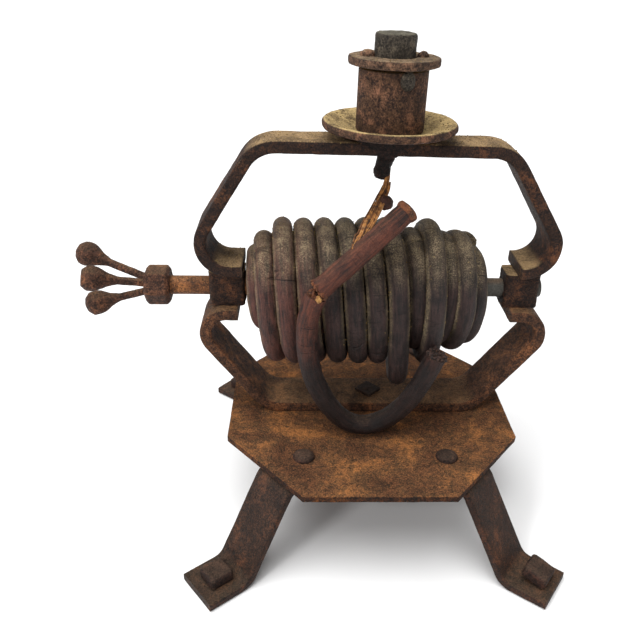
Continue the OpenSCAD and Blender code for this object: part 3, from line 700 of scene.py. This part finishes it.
# ---------------------------------------------------------------- base plate
# An octagon of 3 mm plate, flame cut and rusted all over in orange and
# brown, that carries the lower yoke and the legs.
def iron_material(name, dark, base, bright, dust, bright_share=0.5, dust_share=0.6, metal=0.0, rough=0.8,
                  relief=1.0, patch_size=16, top_low=0.55, edge="6b5a48", bare=None, side=1.0):
    """Rusted iron: broad patches, fine mottling, dark pits, grit, and dust on what faces up.
    bare is the place in mm along X where the rust has worn off to the right, and the colour under it.
    side is painted shade: what does not face up is darkened to that share of its colour."""
    material, tree, surface, place = new_material(name)
    patch = grain(tree, place, patch_size, 5, 0.65, 0.4)
    mottle = grain(tree, place, 3.2, 6, 0.72, 0.6)
    fine = grain(tree, place, 0.8, 5, 0.75)
    grit = cells(tree, place, 1.1)
    dots = cells(tree, place, 2.3)
    mixed = math_of(tree, "ADD", math_of(tree, "MULTIPLY", mottle, 0.55),
                    math_of(tree, "MULTIPLY", fine, 0.45))
    colour = blend(tree, ramp(tree, mixed, 0.4, 0.6), hex_colour(dark), hex_colour(base))
    glow = math_of(tree, "ADD", math_of(tree, "MULTIPLY", patch, 0.55),
                   math_of(tree, "MULTIPLY", mixed, 0.45))
    low = 0.62 - bright_share*0.26
    colour = blend(tree, ramp(tree, glow, low, low + 0.16), colour, hex_colour(bright))
    stained = grain(tree, place, patch_size*0.4, 5, 0.7, 0.8)
    colour = blend(tree, math_of(tree, "MULTIPLY", ramp(tree, stained, 0.5, 0.64), 0.55), colour,
                   hex_colour(dark))
    spots = math_of(tree, "MULTIPLY", ramp(tree, dots, 0.4, 0.1), ramp(tree, mottle, 0.56, 0.4))
    colour = blend(tree, math_of(tree, "MULTIPLY", spots, 0.7), colour, hex_colour(dark))
    colour = blend(tree, math_of(tree, "MULTIPLY", ramp(tree, fine, 0.55, 0.72), 0.45), colour,
                   hex_colour(bright))
    colour = blend(tree, math_of(tree, "MULTIPLY", ramp(tree, fine, 0.45, 0.3), 0.7), colour,
                   hex_colour(dark))
    if bare:
        across = add(tree, "ShaderNodeSeparateXYZ", {0: place}).outputs["X"]
        across = math_of(tree, "ADD", across,
                         math_of(tree, "MULTIPLY", math_of(tree, "SUBTRACT", mottle, 0.5), 0.03))
        colour = blend(tree, ramp(tree, across, PLATE_X + (bare[0] - 8)*MM, PLATE_X + (bare[0] + 8)*MM),
                       colour, hex_colour(bare[1]))
    lies = ramp(tree, stored(tree, "top"), top_low, 0.98)
    lying = ramp(tree, math_of(tree, "ADD", math_of(tree, "MULTIPLY", fine, 0.5),
                               math_of(tree, "MULTIPLY", patch, 0.5)), 0.36, 0.56)
    dusty = math_of(tree, "MULTIPLY", math_of(tree, "MULTIPLY", lies, dust_share),
                    math_of(tree, "ADD", 0.2, math_of(tree, "MULTIPLY", lying, 0.9)))
    colour = blend(tree, math_of(tree, "MINIMUM", dusty, 0.95), colour, hex_colour(dust))
    colour = shaded(tree, shaded(tree, colour, fine, 0.6, 1.5), patch, 0.75, 1.3)
    # Painted shade: faces that do not face up are darkened to the side share.
    colour = shaded(tree, colour, stored(tree, "top"), side, 1)
    worn = ramp(tree, add(tree, "ShaderNodeNewGeometry").outputs["Pointiness"], 0.52, 0.6)
    colour = blend(tree, math_of(tree, "MULTIPLY", math_of(tree, "MULTIPLY", worn, 0.5),
                                 ramp(tree, fine, 0.4, 0.6)), colour, hex_colour(edge))
    tree.links.new(colour, surface.inputs["Base Color"])
    surface.inputs["Metallic"].default_value = metal
    tree.links.new(math_of(tree, "ADD", rough - 0.15, math_of(tree, "MULTIPLY", mixed, 0.3)),
                   surface.inputs["Roughness"])
    surface.inputs["Specular IOR Level"].default_value = 0.22
    deep = bump(tree, math_of(tree, "SUBTRACT", mottle, math_of(tree, "MULTIPLY", spots, 0.5)), 0.9*relief)
    tree.links.new(bump(tree, math_of(tree, "SUBTRACT", fine, math_of(tree, "MULTIPLY", grit, 0.4)),
                        0.5*relief, deep), surface.inputs["Normal"])
    return material


def ray_outline(corners):
    """The distance from the middle to a polygon's edge at an angle."""
    def reach(angle):
        d = Vector((math.cos(angle), math.sin(angle)))
        best = 1e9
        for a, b in zip(corners, corners[1:] + corners[:1]):
            a, e = Vector(a), Vector(b) - Vector(a)
            cross = d.x*e.y - d.y*e.x
            if abs(cross) > 1e-9:
                t, s = (a.x*e.y - a.y*e.x)/cross, (a.x*d.y - a.y*d.x)/cross
                if t > 0 and -1e-6 <= s <= 1 + 1e-6:
                    best = min(best, t)
        return best
    return reach


octagon = [(36.5, 76.5), (-36.5, 76.5), (-75.5, 31), (-75.5, -31), (-36.5, -76.5), (36.5, -76.5),
           (75.5, -31), (75.5, 31)]
plate_angles = sorted([math.tau*k/248 for k in range(248)] + [math.atan2(y, x) % math.tau for x,
                                                              y in octagon])
# Painted shade darkens the plate's flame-cut edges to 0.4 of their colour.
plate_rust = iron_material("orange rusted plate", "281a14", "6a4029", "a36431", "8a6640", bright_share=0.5,
                           dust_share=0.25, rough=0.86, relief=1.2, patch_size=26, edge="4a3d34", side=0.4)
reach = ray_outline(octagon)
plate = grown("rusted_plate", turned([(0, 49), (1, 49), (1, 52), (0, 52)], outline=lambda a: reach(a),
                                     angles=plate_angles, where=Matrix.Translation(at(0, -4, 0)), step=1/46,
                                     ease=0.004), SKIN_TREE, crease=50, lump_depth=0.35*MM, lump_size=16*MM,
              pit_depth=0.16*MM, pit_size=2.6*MM, material=plate_rust)
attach(plate, "stand")
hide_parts("base_plate")

# ---------------------------------------------------------------- legs
# Four flat bars bolted under the plate, bent down and out again into flat
# feet. Dark brown scale with traces of green and pale specks.
def bar_tree():
    """A flat bar with eased edges along a line of points that lies in an upright plane."""
    tree, start, end = new_group("flat bar along a line", {"Width": "Float", "Thickness": "Float",
                                                           "Step": "Float", "Ease": "Float",
                                                           "Lump Depth": "Float", "Lump Size": "Float",
                                                           "Pit Depth": "Float", "Pit Size": "Float",
                                                           "Material": "Material"})
    line = add(tree, "GeometryNodeMeshToCurve", {"Mesh": start.outputs["Geometry"]})
    line = add(tree, "GeometryNodeResampleCurve",
               {"Curve": line.outputs[0], "Length": start.outputs["Step"]}, mode="LENGTH")
    face = add(tree, "GeometryNodeCurvePrimitiveQuadrilateral",
               {"Width": start.outputs["Width"], "Height": start.outputs["Thickness"]})
    face = add(tree, "GeometryNodeFilletCurve", {"Curve": face.outputs[0], "Count": 2,
                                                 "Radius": start.outputs["Ease"]}, mode="POLY")
    face = add(tree, "GeometryNodeSubdivideCurve", {"Curve": face.outputs[0], "Cuts": 4})
    bar = add(tree, "GeometryNodeCurveToMesh", {"Curve": line.outputs[0], "Profile Curve": face.outputs[0],
                                                "Fill Caps": True})
    place = add(tree, "GeometryNodeInputPosition").outputs[0]
    skin = swell(tree, bar.outputs[0], place, start.outputs["Lump Depth"], start.outputs["Lump Size"])
    skin = swell(tree, skin, place, start.outputs["Pit Depth"], start.outputs["Pit Size"])
    skin = add(tree, "GeometryNodeSetMaterial", {"Geometry": skin, "Material": start.outputs["Material"]})
    tree.links.new(skin.outputs[0], end.inputs[0])
    return tree


def bar_line(start, heading, steps):
    """Points [x, z] along a bent bar's middle line. A step is (straight length, turn, bend radius)."""
    p, h, points = Vector(start), math.radians(heading), [Vector(start)]
    for length, turn, radius in steps:
        p = p + Vector((math.cos(h), math.sin(h)))*length
        points.append(p)
        if turn:
            arm = math.copysign(radius, turn)
            centre = p + Vector((-math.sin(h), math.cos(h)))*arm
            parts = math.ceil(abs(turn)/4)
            points += [centre + Vector((math.sin(a), -math.cos(a)))*arm
                       for a in (h + math.radians(turn)*k/parts for k in range(1, parts + 1))]
            p, h = points[-1], h + math.radians(turn)
    return points


BAR_TREE = bar_tree()
BAR = dict(step=1.1*MM, lump_size=13*MM, pit_size=2.4*MM)
leg_iron = iron_material("dark leg iron", "1e1410", "3a251b", "5a3521", "463b2d", bright_share=0.5,
                         dust_share=0.4, rough=0.7, relief=0.8, patch_size=20, top_low=0.3, edge="4c443a")


def leg_frame(sx, sy):
    turn = math.atan2(sy*math.sin(math.radians(38)), sx*math.cos(math.radians(38)))
    return Matrix.Translation(at(sx*36, sy*51.5, 0)) @ Matrix.Rotation(turn, 4, "Z")


steep = (45 - 16.5*(1 - math.cos(math.radians(60))))/math.sin(math.radians(60))
leg_points = bar_line((-13, 47), 0,
                      [(25, -60, 8), (steep, 60, 8.5), (53 - 16.5*math.sin(math.radians(60)) - steep*0.5, 0,
                                                        0)])
for leg, (sx, sy) in {"front_left": (-1, -1), "front_right": (1, -1), "rear_left": (-1, 1),
                      "rear_right": (1, 1)}.items():
    line = [leg_frame(sx, sy) @ (Vector((p.x, 0, p.y))*MM) for p in leg_points]
    piece = grown("leg_bar_" + leg, line_object([line]), BAR_TREE, width=25*MM, thickness=4*MM, ease=0.9*MM,
                  lump_depth=0.3*MM, pit_depth=0.1*MM, material=leg_iron, **BAR)
    kept_in(piece, "leg_" + leg)
    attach(piece, "stand")
    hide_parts("leg_" + leg)

# ---------------------------------------------------------------- yokes
# Two lengths of flat bar bent hot into yokes. The lower one is bolted to the
# plate, the upper one carries the spindle, and the bearings lie between.
def yoke_half(x0, z0, slope, foot_z, arm_slope, bend, foot_bend, tip):
    s, a = math.radians(slope), math.radians(arm_slope)
    outer = 87 - foot_bend*(1 - math.sin(a))
    drop = z0 - foot_z - bend*(math.cos(s) - math.cos(a)) - foot_bend*(1 + math.cos(a))
    across = outer - x0 - bend*(math.sin(a) + math.sin(s))
    arm = (drop + across*math.tan(s))/(math.sin(a) + math.cos(a)*math.tan(s))
    bar = (across - arm*math.cos(a))/math.cos(s)
    return bar_line((x0, z0), slope, [(bar, -(arm_slope + slope), bend),
                                      (arm, -(180 - arm_slope), foot_bend),
                                      (max(1, outer - foot_bend*math.sin(a) - tip), 0, 0)])


def whole_yoke(left, right, flip=1):
    return [at(-p.x, 0, flip*p.y) for p in left[:0:-1]] + [at(p.x, 0, flip*p.y) for p in right[1:]]


yoke_iron = iron_material("dark brown bar iron", "1b1210", "38251b", "5c3822", "957b58", bright_share=0.45,
                          dust_share=0.85, rough=0.74, relief=0.9, patch_size=18, top_low=0.6)
lower_half = yoke_half(0, -55, 0, -111.2, 53, 15, 11.2, 70)
lower = grown("lower_yoke_bar", line_object([whole_yoke(lower_half, lower_half, -1)]), BAR_TREE,
              width=26*MM, thickness=6*MM, ease=1.1*MM, lump_depth=0.35*MM, pit_depth=0.12*MM,
              material=yoke_iron, **BAR)
# The hot bending and forging left the top of the upper yoke narrower than its feet
YOKE_NARROW = 21/26
lean = math.radians(0.6)
hub_mid = (2.5 - 3*math.sin(lean), 199.1 - 3*math.cos(lean))
upper = grown("upper_yoke_bar",
              line_object([whole_yoke(yoke_half(-hub_mid[0], hub_mid[1], 0.6, 135.4, 57.5, 17, 14, 67),
                                      yoke_half(hub_mid[0], hub_mid[1], -0.6, 135.4, 57.5, 17, 14, 72))]),
              BAR_TREE, width=26*MM, thickness=6*MM, ease=1.1*MM, lump_depth=0.35*MM, pit_depth=0.12*MM,
              material=yoke_iron, **BAR)
lower.data.materials[0] = iron_material("brown lower yoke iron", "2b1d16", "5c3d2b", "80502f", "7d6042",
                                        bright_share=0.5, dust_share=0.5, rough=0.75, patch_size=14,
                                        top_low=0.5)
co = np.empty(len(upper.data.vertices)*3)
upper.data.vertices.foreach_get("co", co)
co[1::3] *= np.interp(co[2::3]/MM, (162, 188), (1, YOKE_NARROW))
upper.data.vertices.foreach_set("co", co)
for piece, node in ((lower, "lower_yoke"), (upper, "upper_yoke")):
    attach(piece, "stand")
    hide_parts(node)

# ---------------------------------------------------------------- bearings
# Two rough blocks that the shaft runs through, held between the yokes' feet.
for side, x in (("left", -75.5), ("right", 75.5)):
    block = ray_outline([(9, 7.25), (-9, 7.25), (-9, -7.25), (9, -7.25)])
    piece = grown("bearing_block_" + side, turned([(0, 114.2), (1, 114.2), (1, 132.4), (0, 132.4)], 72,
                                                  lambda a: min(block(a), 10.6), step=1/9, ease=0.12,
                                                  where=Matrix.Translation(at(x, 0, 0))), SKIN_TREE,
                  lump_depth=0.7*MM, lump_size=5*MM, pit_depth=0.25*MM, pit_size=1.6*MM, material=yoke_iron)
    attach(piece, "stand")
    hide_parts("bearing_" + side)

# ---------------------------------------------------------------- bolts and screws
# Round-headed bolts hold the legs, a thin square head holds the yoke, and
# square-headed screws stand in the feet. One of them is bent over.
screw_iron = iron_material("rusted fasteners", "1b120f", "34211a", "4c2e22", "4c3d30", bright_share=0.45,
                           dust_share=0.4, rough=0.7, relief=0.8, patch_size=8)


def flats(sides, cap):
    """A regular polygon's outline for a radius to its flats, with its corners cut off at cap."""
    def share(angle):
        d = (angle + math.pi/sides) % (math.tau/sides) - math.pi/sides
        return min(1/math.cos(d), cap)
    return share


def joined(objects, name):
    """The parts as one object."""
    for o in bpy.context.selected_objects:
        o.select_set(False)
    with bpy.context.temp_override(active_object=objects[0], selected_editable_objects=objects,
                                   selected_objects=objects):
        bpy.ops.object.join()
    objects[0].name = objects[0].data.name = name
    return objects[0]


ROUGH = dict(lump_depth=0.25*MM, lump_size=4*MM, pit_depth=0.1*MM, pit_size=1.2*MM)
heads, nuts, screws = [], [], []
for sx in (-1, 1):
    for sy in (-1, 1):
        spot = Matrix.Translation(at(sx*36, sy*51.5, 0))
        heads.append(turned([(0, 43.6), (2.95, 43.6), (2.95, 51.9), (5.6, 51.9), (5.4, 53), (3.6, 54.4),
                             (0, 54.8)], 40, where=spot, step=0.7))
        nuts.append(turned([(2.98, 40.6), (5.5, 40.6), (5.5, 45), (2.98, 45)], 48, flats(4, 1.33),
                           closed=True, where=spot @ Matrix.Rotation(0.35, 4, "Z"), step=0.8))
        foot = leg_frame(sx, sy) @ Matrix.Translation((53.5*MM, 0, 0))
        if sx > 0 and sy < 0:
            tilt = math.radians(16)
            lift = (2 + 6.25*math.sin(tilt))/math.cos(tilt)
            foot = foot @ Matrix.Translation((0, 0, 2*MM)) @ Matrix.Rotation(tilt, 4, "Y")
            foot = foot @ Matrix.Translation((0, 0, (lift - 4)*MM))
        screws.append(turned([(0, 0.6), (2.9, 0.6), (2.9, 4), (6.2, 4.1), (6.2, 9.6), (5.2, 10.5),
                              (0, 10.5)], 56, flats(4, 1.3), where=foot, step=0.7, ease=0.7))
bolts = grown("leg_bolt_heads", joined(heads, "bolts"), SKIN_TREE, material=screw_iron, **ROUGH)
leg_nuts = grown("leg_square_nuts", joined(nuts, "nuts"), SKIN_TREE, material=screw_iron, **ROUGH)
foot_screws = grown("foot_square_screws", joined(screws, "screws"), SKIN_TREE, material=screw_iron, **ROUGH)
middle_at = Matrix.Translation(at(0, 0, 0))
yoke_bolt = grown("yoke_bolt_head",
                  turned([(0, 44), (3.95, 44), (3.95, 57.9), (5.25, 57.9), (5.25, 59.4), (0, 59.6)], 48,
                         flats(4, 1.38), where=middle_at @ Matrix.Rotation(math.pi/4, 4, "Z")), SKIN_TREE,
                  material=screw_iron, **ROUGH)
yoke_nut = grown("yoke_square_nut", turned([(3.98, 44.6), (5.5, 44.6), (5.5, 49), (3.98, 49)], 48,
                                           flats(4, 1.33), closed=True, where=middle_at), SKIN_TREE,
                 material=screw_iron, **ROUGH)
for piece, node in ((bolts, "leg_bolts"), (leg_nuts, "leg_nuts"), (foot_screws, "foot_screws"),
                    (yoke_bolt, "yoke_bolt"), (yoke_nut, "yoke_nut")):
    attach(piece, "stand")
    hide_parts(node)

# ---------------------------------------------------------------- spindle and roller
# A steel spindle stands through the top bar. On it sit a dished flange, a
# loose piece of pipe that turns as a roller, and a thick washer tacked on.
hub = Matrix.Translation(at(2.5, 0, 199.1)) @ Matrix.Rotation(lean, 4, "Y")
roller_rust = iron_material("rusted pipe and washers", "2b1e1a", "59402f", "7b5540", "b39a6a",
                            bright_share=0.5, dust_share=1.1, rough=0.8, relief=1.0, patch_size=9,
                            top_low=0.72)
boss_steel = iron_material("worn grey spindle steel", "2a2622", "4b443b", "5e5548", "6b6657",
                           bright_share=0.5, dust_share=0.8, metal=0.3, rough=0.62, relief=0.8,
                           patch_size=6)
washer_rust = iron_material("rusted thick washer", "2b1f1a", "5c4536", "7d5c46", "8d7a60", bright_share=0.6,
                            dust_share=0.6, patch_size=7, top_low=0.8)
# Dark grease and scale for the spindle's tail and for the sheet under the dish, which is partly painted
# shadow.
grime_and_shade = iron_material("grease, rust scale and painted shade", "0e0b0a", "2a1c18", "432c23", "3a3028", bright_share=0.35,
                      dust_share=0.2, rough=0.7, relief=1.3, patch_size=6)
dish = grown("dished_flange", turned([(5, 0), (11.5, 0), (30.6, 4.7), (31.6, 5.7), (31.6, 7.5), (30.6, 8.5),
                                      (29.2, 8.5), (18.3, 3.8), (5, 3.8)], 128, closed=True, where=hub,
                                     ease=0.7), SKIN_TREE, lump_depth=0.3*MM, lump_size=8*MM,
             pit_depth=0.15*MM, pit_size=1.6*MM, material=roller_rust)
washer = grown("spindle_thick_washer", turned([(9.4, 32.8), (20.7, 32.8), (20.7, 36.4), (9.4, 36.4)], 110,
                                              closed=True, where=hub, ease=1.0), SKIN_TREE,
               lump_depth=0.3*MM, lump_size=6*MM, pit_depth=0.15*MM, pit_size=1.5*MM, material=washer_rust)
tacks = grown("washer_weld_tacks",
              joined([turned([(0, -1.2), (3.6, -1), (3.2, 1.4), (1.6, 2.4), (0, 2.5)], 32,
                             where=hub @ Matrix.Translation(Vector((-12.4, -1.5, 36.4))*MM)),
                      turned([(0, -1.2), (2.6, -1), (2.4, 1.2), (1.1, 2.4), (0, 2.6)], 32,
                             where=hub @ Matrix.Translation(Vector((12.4, -1, 36.4))*MM))], "tacks"),
              SKIN_TREE, lump_depth=0.9*MM, lump_size=3*MM, pit_depth=0.3*MM, pit_size=1.2*MM,
              material=washer_rust)
spindle = grown("spindle_in_the_bar",
                joined([turned([(0, 3.9), (9.35, 3.9), (9.35, 45.2), (8.6, 46.1), (0, 46.2)], 90,
                               where=hub), turned([(0, -6), (4.9, -6), (4.9, 4), (0, 4)], 40, where=hub)],
                       "spindle"), SKIN_TREE, lump_depth=0.35*MM, lump_size=4*MM, pit_depth=0.12*MM,
                pit_size=1.5*MM, material=boss_steel)
kept_in(spindle, "spindle")
tail = grown("spindle_rusted_tail",
             turned([(0, -14), (2.6, -13.4), (4.2, -10.5), (3.6, -7), (4.3, -3), (4.6, 2), (0, 2)], 48,
                    where=hub @ Matrix.Translation((0, 0, -6*MM))
                    @ Matrix.Rotation(math.radians(12), 4, "Y")), SKIN_TREE, lump_depth=0.7*MM,
             lump_size=2.6*MM, pit_depth=0.3*MM, pit_size=0.9*MM, material=grime_and_shade)
# A dark flattened cone on the bar's front face under the dish: partly a grease drip, partly painted shadow of
# the dish.
grease_and_shadow_drip = grown("grease_below_the_dish",
             turned([(0, 1.2), (15, 1.2), (10.6, -1.2), (6.6, -4), (4.1, -6.3), (0, -6.6)], 60,
                    where=hub @ Matrix.Translation(Vector((-1, -10.4, 0))*MM)
                    @ Matrix.Scale(0.13, 4, (0, 1, 0))), SKIN_TREE, lump_depth=0.4*MM, lump_size=3*MM,
             pit_depth=0.15*MM, pit_size=1*MM, material=grime_and_shade)
for piece in (tail, grease_and_shadow_drip):
    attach(piece, "stand")
for piece, node, slot in ((dish, "dish_flange", "roller_iron"), (washer, "spindle_washer", "roller_iron"),
                          (tacks, "washer_tacks", "fastener_iron"), (spindle, "spindle", "spindle_steel")):
    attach(piece, "stand")
    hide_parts(node)
sleeve = grown("roller_pipe", turned([(9.48, 4.1), (15.8, 4.1), (15.8, 31.3), (9.48, 31.3)], 110,
                                     closed=True, where=hub, ease=0.6), SKIN_TREE, lump_depth=0.02*MM,
               lump_size=7*MM, pit_depth=0.02*MM, pit_size=1.5*MM, material=roller_rust)
lump = grown("pipe_dried_grease_lump", turned([(0, -1), (3.2, -0.8), (3.4, 0.4), (2.2, 1.3), (0, 1.5)], 36,
                                              where=hub @ Matrix.Rotation(math.radians(17), 4, "Z")
                                              @ Matrix.Translation(Vector((0, -15.8, 28))*MM)
                                              @ Matrix.Rotation(math.pi/2, 4, "X")
                                              @ Matrix.Scale(1.25, 4, (0, 1, 0))), SKIN_TREE,
             lump_depth=0.5*MM, lump_size=4*MM, pit_depth=0.1*MM, pit_size=1.2*MM, material=boss_steel)
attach(lump, "roller")
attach(sleeve, "roller")
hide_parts("roller_sleeve")

for name, piece, low in (("dish_crumbs", dish, 0.8), ("washer_crumbs", washer, 0.9),
                         ("upper_yoke_crumbs", upper, 0.7)):
    scattered(name, piece, lambda co, n: np.clip((n[:, 2] - low)*6, 0, 1), "stand", "roller_iron",
              density=9e4, size=0.42*MM, seed=7, material=dirt)

# ---------------------------------------------------------------- shaft and handle
# A plain round shaft. At its left end a hexagonal collar is pinned on, and
# three rods with bulb-shaped heads spread from it to be turned by hand.
shaft_at = Matrix.Translation(at(0, 0, SHAFT_Z)) @ Matrix.Rotation(math.pi/2, 4, "Y")
shaft_steel = iron_material("worn shaft, rusty at the handle", "40291a", "7a4c2c", "935f34", "7d5c3c",
                            bright_share=0.5, dust_share=0.3, rough=0.6, relief=0.6, patch_size=8,
                            bare=(0, "4a4843"))
shaft = grown("shaft_round_bar", turned([(0, -111.4), (4.85, -111.4), (4.85, 86.4), (0, 86.4)], 48,
                                        where=shaft_at, step=1.4), SKIN_TREE, lump_depth=0.03*MM,
              lump_size=6*MM, pit_depth=0.03*MM, pit_size=1.4*MM, material=shaft_steel)
handle_rust = iron_material("brown rusted handle", "291b14", "54372a", "764c33", "6d553c", bright_share=0.5,
                            dust_share=0.4, rough=0.72, relief=0.9, patch_size=7)
collar_at = Matrix.Translation(at(-117.6, 0, SHAFT_Z)) @ Matrix.Rotation(math.radians(-26), 4, "X")
collar_at = collar_at @ Matrix.Rotation(math.pi/2, 4, "Y")
collar = grown("hex_collar_body", turned([(0, 0.05), (7.4, 0.05), (9.15, 1.8), (9.15, 11.2), (7.4, 12.95),
                                          (0, 12.95)], 96, flats(6, 1.12),
                                         where=collar_at @ Matrix.Rotation(math.pi/6, 4, "Z")), SKIN_TREE,
               lump_depth=0.3*MM, lump_size=5*MM, pit_depth=0.12*MM, pit_size=1.4*MM, material=handle_rust)
pin = grown("collar_cross_pin", turned([(0, -8.8), (1.45, -8.8), (1.45, 8.8), (0, 8.8)], 24,
                                       where=Matrix.Translation(at(-108.1, 0, SHAFT_Z))
                                       @ Matrix.Rotation(math.radians(86), 4, "X")), SKIN_TREE,
            lump_depth=0.05*MM, lump_size=2*MM, pit_depth=0.03*MM, pit_size=1*MM, material=handle_rust)
for piece, node, slot in ((shaft, "shaft", "shaft_steel"), (collar, "hex_collar", "roller_iron"),
                          (pin, "collar_pin", "fastener_iron")):
    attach(piece, "reel")
    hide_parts(node)
PRONG = [(4, 36), (6.1, 33.2), (6.2, 30.2), (5.7, 28.1), (3.4, 23.4), (2, 18.5)]
for name, turn, spread, length in (("front", 38, 19.3, 30.8), ("upper", 140, 22.9, 39.2),
                                   ("lower", -100, 16.5, 32.9)):
    where = (Matrix.Translation(at(-117.6, 0, SHAFT_Z)) @ Matrix.Rotation(math.radians(180 - turn), 4, "X")
             @ Matrix.Translation((0, 3.9*MM, 0)) @ Matrix.Rotation(math.radians(180 - spread), 4, "Z")
             @ Matrix.Rotation(math.pi/2, 4, "Y"))
    profile = [(0, -3.2), (1.9, -3.2)] + [(r, z + length - 36) for r, z in PRONG[::-1]] + [(0, length)]
    piece = grown("prong_rod_" + name, turned(profile, 48, flats(6, 1.06), where=where, step=0.8),
                  SKIN_TREE, lump_depth=0.28*MM, lump_size=3.4*MM, pit_depth=0.08*MM, pit_size=1.2*MM,
                  material=handle_rust)
    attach(piece, "reel")
    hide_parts("prong_" + name)

# ---------------------------------------------------------------- floor and light
# A plain pale floor, a large soft light above and weak fill from the front.
floor_mesh = bpy.data.meshes.new("floor")
floor_mesh.from_pydata([(-20, -20, 0), (20, -20, 0), (20, 20, 0), (-20, 20, 0)], [], [(0, 1, 2, 3)])
floor = bpy.data.objects.new("floor", floor_mesh)
floor.location.z = -0.0004
bpy.context.scene.collection.objects.link(floor)
floor_white = new_material("pale floor")[0]
floor_surface = floor_white.node_tree.nodes["Principled BSDF"]
floor_surface.inputs["Base Color"].default_value = (0.85, 0.85, 0.85, 1)
floor_surface.inputs["Roughness"].default_value = 0.9
floor_mesh.materials.append(floor_white)
floor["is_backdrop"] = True


def soft_light(name, place, target, size, power):
    data = bpy.data.lights.new(name, "AREA")
    data.shape, data.size, data.energy = "DISK", size, power
    light = bpy.data.objects.new(name, data)
    light.location = place
    light.rotation_euler = (Vector(target) - Vector(place)).to_track_quat("-Z", "Y").to_euler()
    bpy.context.scene.collection.objects.link(light)


sun = bpy.data.lights.new("soft sky", "SUN")
sun.energy, sun.angle = 3.5, math.radians(60)
sky = bpy.data.objects.new("soft sky", sun)
sky.rotation_euler = Vector((-0.25, -0.12, 1)).to_track_quat("Z", "Y").to_euler()
bpy.context.scene.collection.objects.link(sky)
soft_light("left front", (-0.7, -0.9, 0.75), (0, 0, 0.12), 0.25, 5)
world = bpy.data.worlds.new("studio")
world.use_nodes = True
world.node_tree.nodes["Background"].inputs["Color"].default_value = (1, 1, 1, 1)
world.node_tree.nodes["Background"].inputs["Strength"].default_value = 0.42
bpy.context.scene.world = world
bpy.context.scene.view_settings.view_transform = "Standard"

low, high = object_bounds()
